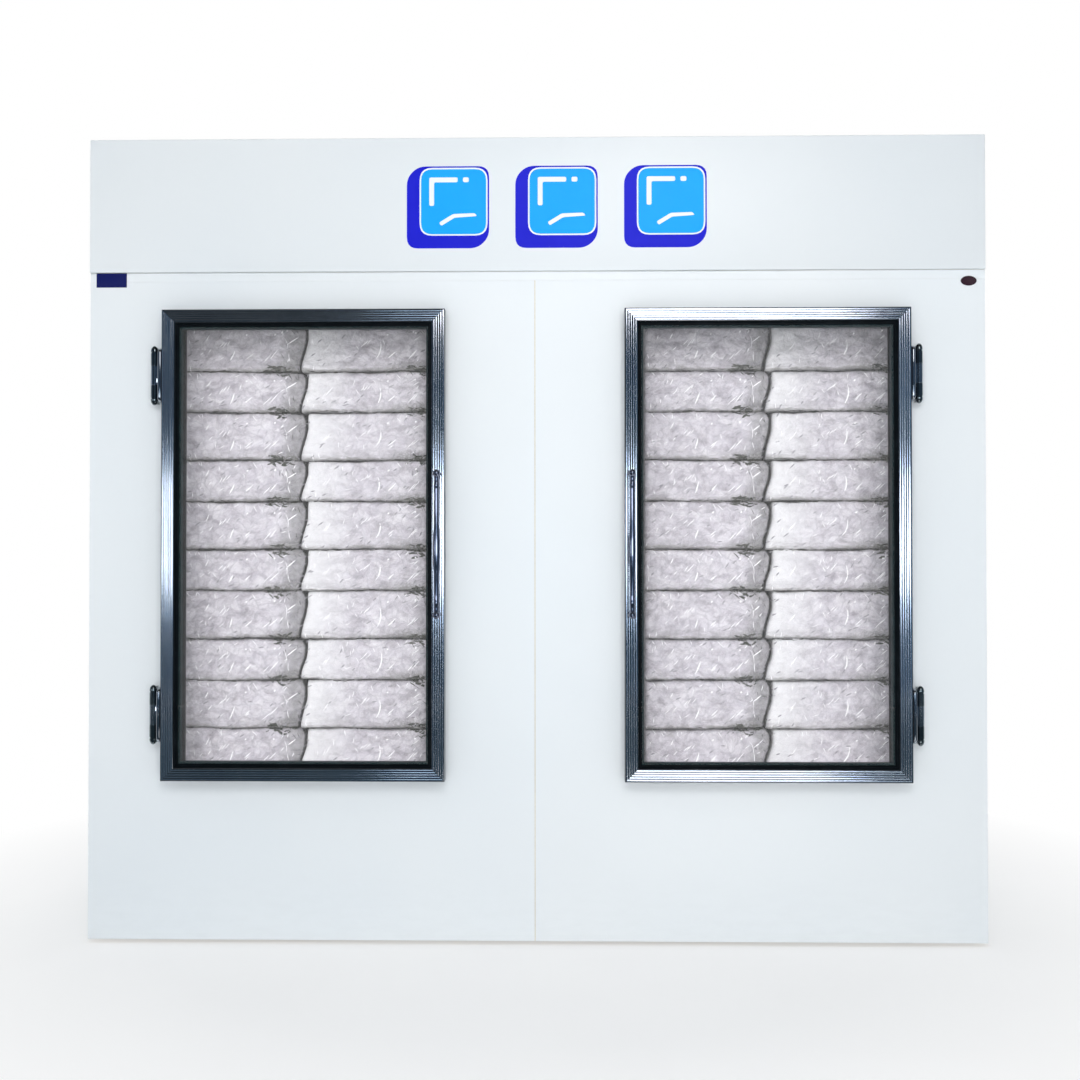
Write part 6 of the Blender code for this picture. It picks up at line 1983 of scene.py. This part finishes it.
foot = [
    (0.0115, 0.0), (0.0125, 0.0010), (0.0115, 0.0022), (0.0105, 0.0036), (0.0105, 0.0054), (0.0120, 0.0068),
    (0.0120, 0.0105), (0.0108, 0.0115), (0.0050, 0.0118)
]
feet, bolts = bmesh.new(), bmesh.new()
for x, y in FEET:
    add_dome(feet, pot + Vector((x, y, 0)), (0, 0, 1), foot, 20)
    head = pot + Vector((x, y, 0.0117))
    add_dome(bolts, head, (0, 0, 1), [(0.0075, 0.0), (0.0075, 0.0008), (0.0072, 0.0011)], 20)
    add_dome(bolts, head, (0, 0, 1), [(0.0046, 0.0011), (0.0046, 0.0040), (0.0038, 0.0047)], 6)
settle(finish_mesh("compressor_feet", feet, black, 30), "cabinet", ())
settle(finish_mesh("compressor_bolts", bolts, steel, 30), "cabinet", ())
shape = bmesh.new()
add_box(shape, pot + Vector((-0.026, 0.066, 0.090)), pot + Vector((0.026, 0.0935, 0.146)), 0.004, 3)
add_box(shape, pot + Vector((-0.019, 0.0930, 0.097)), pot + Vector((0.019, 0.0945, 0.139)), 0.0006)
for rib in range(5):
    x = -0.012 + rib * 0.006
    add_box(
        shape, pot + Vector((x - 0.0007, 0.0940, 0.101)), pot + Vector((x + 0.0007, 0.0949, 0.135)), 0.0003
    )
settle(finish_mesh("compressor_terminals", shape, fan_plastic, 30), "cabinet", ())
print("the compressor stands on", len(FEET), "feet")

# %% [markdown]
# ## Refrigerant lines
# Copper tube is bent by hand round a former, so every bend has the same radius. A curve with a bevel
# could draw it. Here each line is a path of corners that are rounded alike, which keeps its ends
# exactly at the stubs of the coils.

# %% Refrigerant lines
port_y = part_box("suction_line")[1].y - 0.008
end_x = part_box("discharge_line")[0].x
BEND = 0.022
COLD_X = 0.040
shape = bmesh.new()
add_tube(
    shape,
    bent_path(
        [
            (pot.x, pot.y, high.z + 0.0002), (pot.x, pot.y, hot_z), (pot.x, stub_y, hot_z),
            (end_x, stub_y, hot_z)
        ],
        BEND
    ),
    0.006, 14
)
collar = [(0.0060, 0.0), (0.0074, 0.0004), (0.0074, 0.0042), (0.0060, 0.0062)]
add_turned(shape, collar, (pot.x, pot.y, high.z + 0.0004), (0, 0, 1), 20)
settle(finish_mesh("hot_line", shape, tube_copper, 50), "cabinet", ["discharge_line"])
evaporator_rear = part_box("liquid_line")[0].y
shape = bmesh.new()
liquid = [
    (end_x, stub_y, warm_z), (-COLD_X, stub_y, warm_z), (-COLD_X, port_y, warm_z),
    (-COLD_X, port_y, cold_z), (-COLD_X, evaporator_rear, cold_z)
]
add_tube(shape, bent_path(liquid, BEND), 0.0058, 14)
drier_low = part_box("machine_tray")[0].z + 0.0012 + 0.020
drier = [
    (0.0059, 0.0), (0.0072, 0.0006), (0.0072, 0.0080), (0.0105, 0.0120), (0.0170, 0.0170), (0.0196, 0.0225),
    (0.0200, 0.0300)
]
drier += [(0.0200, 0.0480), (0.0193, 0.0490), (0.0193, 0.0505), (0.0200, 0.0515)]
drier += [(radius, 0.110 - along) for radius, along in reversed(drier[:7])]
add_turned(shape, drier, (-COLD_X, port_y, drier_low), (0, 0, 1), 32)
settle(finish_mesh("liquid_pipe", shape, tube_copper, 42), "cabinet", ["liquid_line"])
sleeve_foam = plastic("black foam", (0.020, 0.020, 0.021), (0.050, 0.050, 0.050), 0.85)
return_z = pot.z + 0.105
suction = [
    (COLD_X, evaporator_rear, cold_z), (COLD_X, port_y, cold_z), (COLD_X, port_y, return_z),
    (COLD_X, pot.y, return_z), (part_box("suction_line")[1].x, pot.y, return_z)
]
trimmed = [Vector(suction[0]) + Vector((0, 0.012, 0))] + suction[1:-1] + [
    Vector(suction[-1]) - Vector((0.014, 0, 0))
]
shape = bmesh.new()
add_tube(shape, bent_path(trimmed, BEND), 0.0079, 16)
settle(finish_mesh("suction_sleeve", shape, sleeve_foam, 50), "cabinet", ["suction_line"])
shape = bmesh.new()
HIDDEN = 0.004
add_tube(shape, [suction[0], trimmed[0] + Vector((0, HIDDEN, 0))], 0.0062, 14)
add_tube(shape, [trimmed[-1] - Vector((HIDDEN, 0, 0)), suction[-1]], 0.0062, 14)
settle(finish_mesh("suction_ends", shape, tube_copper, 50), "cabinet", ())
print("the compressor and three lines are in")

# %% [markdown]
# ## Light bar
# A bar behind the centre post lights the bags. It is an aluminium channel with a round milky cover, and
# the cover has fine ribs along its length that spread the light. A cap closes each end. Drawn as a
# section carried up the bar, the ribs are true shapes and cost little.

# %% Light bar
low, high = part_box("interior_light")
milky, tree, shader = start_material("milky cover", (0.86, 0.87, 0.88), Roughness=0.35)
glow_tone = ramp(
    tree, clouds(tree, object_place(tree, (1, 1, 0.3)), 9.0, 2.0), (0.3, (0.92, 0.95, 1.0)),
    (0.7, (1.0, 0.99, 0.97))
)
feed(tree, shader, Emission_Color=glow_tone)
shader.inputs["Emission Strength"].default_value = 0.7
bumps(tree, shader, clouds(tree, object_place(tree, (1, 1, 0.1)), 700.0, 1.0), 0.0002, 0.3)
mid_y = low.y + 0.009
shape = bmesh.new()
section = []
for step in range(73):
    angle = math.pi * step / 72
    bulge = 1.0 - (0.018 if step % 4 < 2 else 0.0)
    section.append(
        (0.0172 * math.cos(angle) * bulge, mid_y + (high.y - mid_y - 0.0003) * math.sin(angle) * bulge)
    )
section += [(-0.0150, mid_y - 0.0010), (0.0150, mid_y - 0.0010)]
add_loft(shape, [[(x, y, z) for x, y in section] for z in (low.z + 0.011, high.z - 0.011)])
settle(finish_mesh("light_cover", shape, milky, 20), "cabinet", ["interior_light"])
shape = bmesh.new()
add_box(
    shape, (low.x + 0.0005, low.y, low.z + 0.010), (high.x - 0.0005, mid_y - 0.0012, high.z - 0.010), 0.0012
)
for z_low, z_high in ((low.z, low.z + 0.0105), (high.z - 0.0105, high.z)):
    cap = [(low.x, low.y), (high.x, low.y)] + [
        (0.020 * math.cos(a), mid_y + (high.y - mid_y) * math.sin(a))
        for a in [math.pi * k / 16 for k in range(17)]
    ]
    levels = ((0.97, z_low), (1.0, z_low + 0.0006), (1.0, z_high - 0.0006), (0.97, z_high))
    add_loft(shape, [[(x * s, low.y + (y - low.y) * s, z) for x, y in cap] for s, z in levels])
settle(finish_mesh("light_channel", shape, sheet_aluminium, 32), "cabinet", ())
print("light bar is", round((high.z - low.z) * 1000), "mm long")

# %% [markdown]
# ## Controls
# Behind a window in the rear sheet sit a rocker switch, the cord's gland and a thermostat knob. They
# are small, but hands touch them, so they get real shapes: a dished rocker with the two usual marks, a
# hexagon nut round the gland, a fluted knob with a white pointer, and a dial with ticks that grow.
# The gland is one piece with the box in the frame. The box's finish turns to black plastic there.

# %% Box and gland
BOX_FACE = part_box("thermostat_knob")[0].y - 0.0002
CONTROL_Z = (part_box("thermostat_knob")[0].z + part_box("thermostat_knob")[1].z) / 2
KNOB_X, GLAND_X, SWITCH_X = 0.830, 0.760, 0.690
box_finish = zinc("galvanised box", 0.92)
tree = box_finish.node_tree
spot = coordinates(tree)
across = calculate(tree, "SUBTRACT", spot["X"], GLAND_X)
above = calculate(tree, "SUBTRACT", spot["Z"], CONTROL_Z)
from_gland = calculate(
    tree, "SQRT", calculate(tree, "ADD", times(tree, across, across), times(tree, above, above))
)
gland = times(
    tree, calculate(tree, "LESS_THAN", from_gland, 0.0114),
    calculate(tree, "GREATER_THAN", spot["Y"], BOX_FACE + 0.0002)
)
metal = tree.nodes["Principled BSDF"]
black_part = put(tree, "ShaderNodeBsdfPrincipled", Roughness=0.42)
speckle = clouds(tree, object_place(tree), 300.0, 2.0)
feed(
    tree, black_part,
    Base_Color=ramp(tree, speckle, (0.3, (0.012, 0.012, 0.013)), (0.7, (0.030, 0.030, 0.031)))
)
either = put(tree, "ShaderNodeMixShader", i0=gland, i1=metal.outputs[0], i2=black_part.outputs[0])
show(tree, either)
dress(box_finish, "electrical_box")
mark_white = plastic("mark white", (0.80, 0.81, 0.80), (0.66, 0.66, 0.65), 0.4)

shape = bmesh.new()
gland_foot = (GLAND_X, BOX_FACE, CONTROL_Z)
nut = [(0.0112, 0.0001), (0.0165, 0.0001), (0.0165, 0.0046), (0.0155, 0.0056), (0.0112, 0.0056)]
add_turned(shape, nut, gland_foot, (0, 1, 0), 6)
for ring in range(4):
    base = 0.0072 + ring * 0.0026
    add_turned(
        shape,
        [(0.0109, base), (0.01165, base + 0.0005), (0.01165, base + 0.0011), (0.0109, base + 0.0016)],
        gland_foot, (0, 1, 0), 36
    )
settle(finish_mesh("gland_nut", shape, fan_plastic, 30), "cabinet", ())
print("the gland is in")

# %% [markdown]
# ## Rocker switch
# A rocker is dished, so that a finger finds its middle. A box with a bevel would look like a plain key.
# The dish is a curve of seventeen heights, and the two marks are thin shapes that follow it.

# %% Rocker switch
low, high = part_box("power_switch")
ROCKER_HALF = 0.0070
ROCKER_DISH = 0.0020


def rocker_face(z):
    """How far back the dished face of the rocker lies at that height."""
    t = (z - CONTROL_Z) / ROCKER_HALF
    return high.y - ROCKER_DISH * (1 - t * t)


heights = [CONTROL_Z + ROCKER_HALF * k / 8 for k in range(-8, 9)]
dish = [(rocker_face(z) - (0.0002 if z in (heights[0], heights[-1]) else 0), z) for z in heights]
outline = [(low.y, low.z), (high.y - 0.0006, low.z)] + dish + [(high.y - 0.0006, high.z), (low.y, high.z)]
mid_y = low.y + 0.004
levels = ((low.x, 0.93), (low.x + 0.0007, 1.0), (high.x - 0.0007, 1.0), (high.x, 0.93))
shape = add_loft(
    bmesh.new(),
    [[(x, mid_y + (y - mid_y) * s, CONTROL_Z + (z - CONTROL_Z) * s) for y, z in outline] for x, s in levels]
)
settle(finish_mesh("rocker", shape, fan_plastic, 32), "power_switch", ["power_switch"])

rows = [CONTROL_Z + 0.0018 + 0.0006 * k for k in range(7)]
bar = rectangle(-0.0005, 0.0005, -0.0001, 0.00008)
shape = add_loft(bmesh.new(), [[(SWITCH_X + x, rocker_face(z) + d, z) for x, d in bar] for z in rows])
rings = []
for step in range(20):
    ring = []
    for radius, d in rectangle(0.0013, 0.0019, -0.0001, 0.00008):
        x, z = circle(radius, 20, (SWITCH_X, CONTROL_Z - 0.0036))[step]
        ring.append(shape.verts.new((x, rocker_face(z) + d, z)))
    rings.append(ring)
skin_rings(shape, rings + rings[:1])
settle(finish_mesh("rocker_marks", shape, mark_white, 30), "power_switch", ())
bezel = [
    (0.0, BOX_FACE - 0.0004), (0.0, BOX_FACE + 0.0006), (0.0006, BOX_FACE + 0.0011),
    (0.0018, BOX_FACE + 0.0011), (0.0021, BOX_FACE + 0.0006), (0.0021, BOX_FACE - 0.0004)
]
bezel = carried_frame("rocker_bezel", (SWITCH_X, CONTROL_Z), 0.0266, 0.0226, bezel, fan_plastic)
settle(bezel, "cabinet", ())
print("the rocker is", round((high.x - low.x) * 1000), "mm wide")

# %% [markdown]
# ## Thermostat knob and dial
# Flutes give a cold hand its grip. A bump map would leave the knob's outline round, so the flutes are
# drawn into its section. The ticks of the dial grow from warm to cold, in place of numbers.

# %% Thermostat knob and dial
low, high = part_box("thermostat_knob")
FLUTES = 16
FLUTE_DEPTH = 0.00045
levels = [
    (0.0166, 0.0, 0), (0.0170, 0.0004, 0), (0.0170, 0.0014, 0), (0.0164, 0.0019, 0), (0.0158, 0.0021, 1),
    (0.0150, 0.0090, 1), (0.0143, 0.0148, 1), (0.0136, 0.0158, 0.4), (0.0128, 0.0160, 0),
    (0.0120, 0.0156, 0), (0.0040, 0.0153, 0)
]
rings = []
for radius, along, flute in levels:
    ring = []
    for step in range(96):
        angle = math.tau * step / 96
        reach = radius - flute * FLUTE_DEPTH * (1 + math.cos(FLUTES * angle))
        ring.append((KNOB_X + reach * math.cos(angle), low.y + along, CONTROL_Z + reach * math.sin(angle)))
    rings.append(ring)
shape = add_loft(bmesh.new(), rings)
add_box(
    shape, (KNOB_X - 0.0010, low.y + 0.0080, CONTROL_Z + 0.0006),
    (KNOB_X + 0.0010, high.y, CONTROL_Z + 0.0122), 0.0005
)
settle(
    finish_mesh("fluted_knob", shape, fan_plastic, 34), "thermostat_knob", ["thermostat_knob"],
)
shape = bmesh.new()
add_box(
    shape, (KNOB_X - 0.0005, high.y - 0.0003, CONTROL_Z + 0.0016),
    (KNOB_X + 0.0005, high.y + 0.00006, CONTROL_Z + 0.0116), 0.00004, 1
)
settle(finish_mesh("knob_pointer", shape, mark_white, 30), "thermostat_knob", ())

shape = bmesh.new()
add_turned(
    shape,
    [
        (0.0176, 0.00002), (0.0290, 0.00002), (0.0290, 0.0003), (0.0286, 0.0005), (0.0180, 0.0005),
        (0.0176, 0.0003), (0.0176, 0.00002)
    ],
    (KNOB_X, BOX_FACE, CONTROL_Z), (0, 1, 0), 64
)
settle(finish_mesh("dial_plate", shape, fan_plastic, 30), "cabinet", ())
shape = bmesh.new()
for tick in range(8):
    out, wide = spokes(math.radians(225 - 270 * tick / 7))
    corners = rectangle(0.0190, 0.0215 + 0.0008 * tick, -0.0004, 0.0004)
    bases = [Vector((KNOB_X, BOX_FACE + level, CONTROL_Z)) for level in (0.00045, 0.00058)]
    add_loft(shape, [[base + out * r + wide * s for r, s in corners] for base in bases])
settle(finish_mesh("dial_ticks", shape, mark_white, 30), "cabinet", ())
print("switch, gland, knob and dial are in")

# %% [markdown]
# ## Louvre lips and screws
# The slots in the rear sheet are pressed, not just cut: the metal above each slot leans inwards as a
# lip, so that nothing falls in. All twenty-one lips are the same, so one lip is drawn and the stamp
# tree places it. Screws hold the rear sheet and the lid. Their heads are countersunk and lie almost
# flush, with a cross recess, and the same tree sets them in rows.

# %% Louvre lips
low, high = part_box("rear_grille")
slot_rows = [(low.z + high.z) / 2 + (row - 3) * 0.030 for row in range(7)]
curve = [(0.0070, 0.0), (0.0058, 0.0009), (0.0046, 0.0030), (0.0026, 0.0052), (0.0006, 0.0068)]
section = curve + [(drop - 0.0004, into + 0.0008) for drop, into in reversed(curve)]
end_shape = ((0.2095, 0.15), (0.2080, 0.55), (0.2050, 0.85), (0.2000, 1.0))
stations = [(-x, depth) for x, depth in end_shape] + list(reversed(end_shape))
shape = add_loft(
    bmesh.new(), [[(x, drop, into * depth) for drop, into in section] for x, depth in stations]
)
lip = finish_mesh("one_lip", shape, paint, 40)
SLOT_MIDDLES = (-0.940, -0.420, 0.100)
spots = [((x, low.y - 0.0001, z), (0, -1, 0)) for x in SLOT_MIDDLES for z in slot_rows]
lips = stamp("louvre_lips", lip, paint, spots)
turned_up = max(v.co.z for v in lips.data.vertices) - slot_rows[-1]
settle(lips, "cabinet", ())
print(len(spots), "louvre lips, their edge", round(turned_up * 1000, 1), "mm above the slot's middle")

# %% [markdown]
# ## Screws
# A screw could be a plain disc, but the cross in its head catches the light even at this size. So the
# head is turned, and its face is filled round a cross-shaped recess.

# %% Screws
def screw_head():
    """A countersunk head, 7 mm wide and almost flush, with a cross recess; it faces its own z."""
    shape = bmesh.new()
    slot, top, deep = 0.0006, 0.00008, 0.0009
    rim = []
    for radius, level in ((0.0034, -0.0006), (0.0035, 0.00002), (0.0033, top)):
        rim.append([shape.verts.new((*point, level)) for point in circle(radius, 24)])
    skin_rings(shape, rim)
    cross = []
    for quarter in range(4):
        turn = math.tau * quarter / 4
        for x, y in ((slot, -slot), (0.0019, -slot), (0.0019, slot), (slot, slot)):
            cross.append((x * math.cos(turn) - y * math.sin(turn), x * math.sin(turn) + y * math.cos(turn)))
    cross = [
        point
        for here, point in enumerate(cross) if (Vector(point) - Vector(cross[here - 1])).length > 0.00001
    ]
    upper = [shape.verts.new((x, y, top)) for x, y in cross]
    lower = [shape.verts.new((x * 0.8, y * 0.8, top - deep)) for x, y in cross]
    skin_rings(shape, [upper, lower])
    shape.faces.new(lower)
    top_edges = [
        shape.edges.get((ring[k], ring[(k + 1) % len(ring)])) for ring in (rim[-1], upper)
        for k in range(len(ring))
    ]
    bmesh.ops.triangle_fill(shape, edges=top_edges, use_beauty=True)
    return finish_mesh("one_screw", shape, steel, 30)


EDGE = 0.012
spots = [
    ((-1.170 + 2.340 * k / 8, high.y, z), (0, 1, 0)) for k in range(9)
    for z in (low.z + EDGE, high.z - EDGE)
]
spots += [((x, high.y, (low.z + high.z) / 2), (0, 1, 0)) for x in (-1.180, 1.180)]
lid_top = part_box("compartment_lid")[1].z
spots += [((-1.160 + 2.320 * k / 8, y, lid_top), (0, 0, 1)) for k in range(9) for y in (-0.30, 0.50)]
side_low, side_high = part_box("compartment_side_right")
for side in (-1, 1):
    spots += [
        ((side * side_high.x, -0.28 + 0.26 * k, z), (side, 0, 0)) for k in range(4)
        for z in (side_low.z + EDGE, side_high.z - EDGE)
    ]
screws = stamp("sheet_screws", screw_head(), steel, spots)
settle(screws, "cabinet", ())
print(len(spots), "screws with", len(screws.data.polygons), "faces")
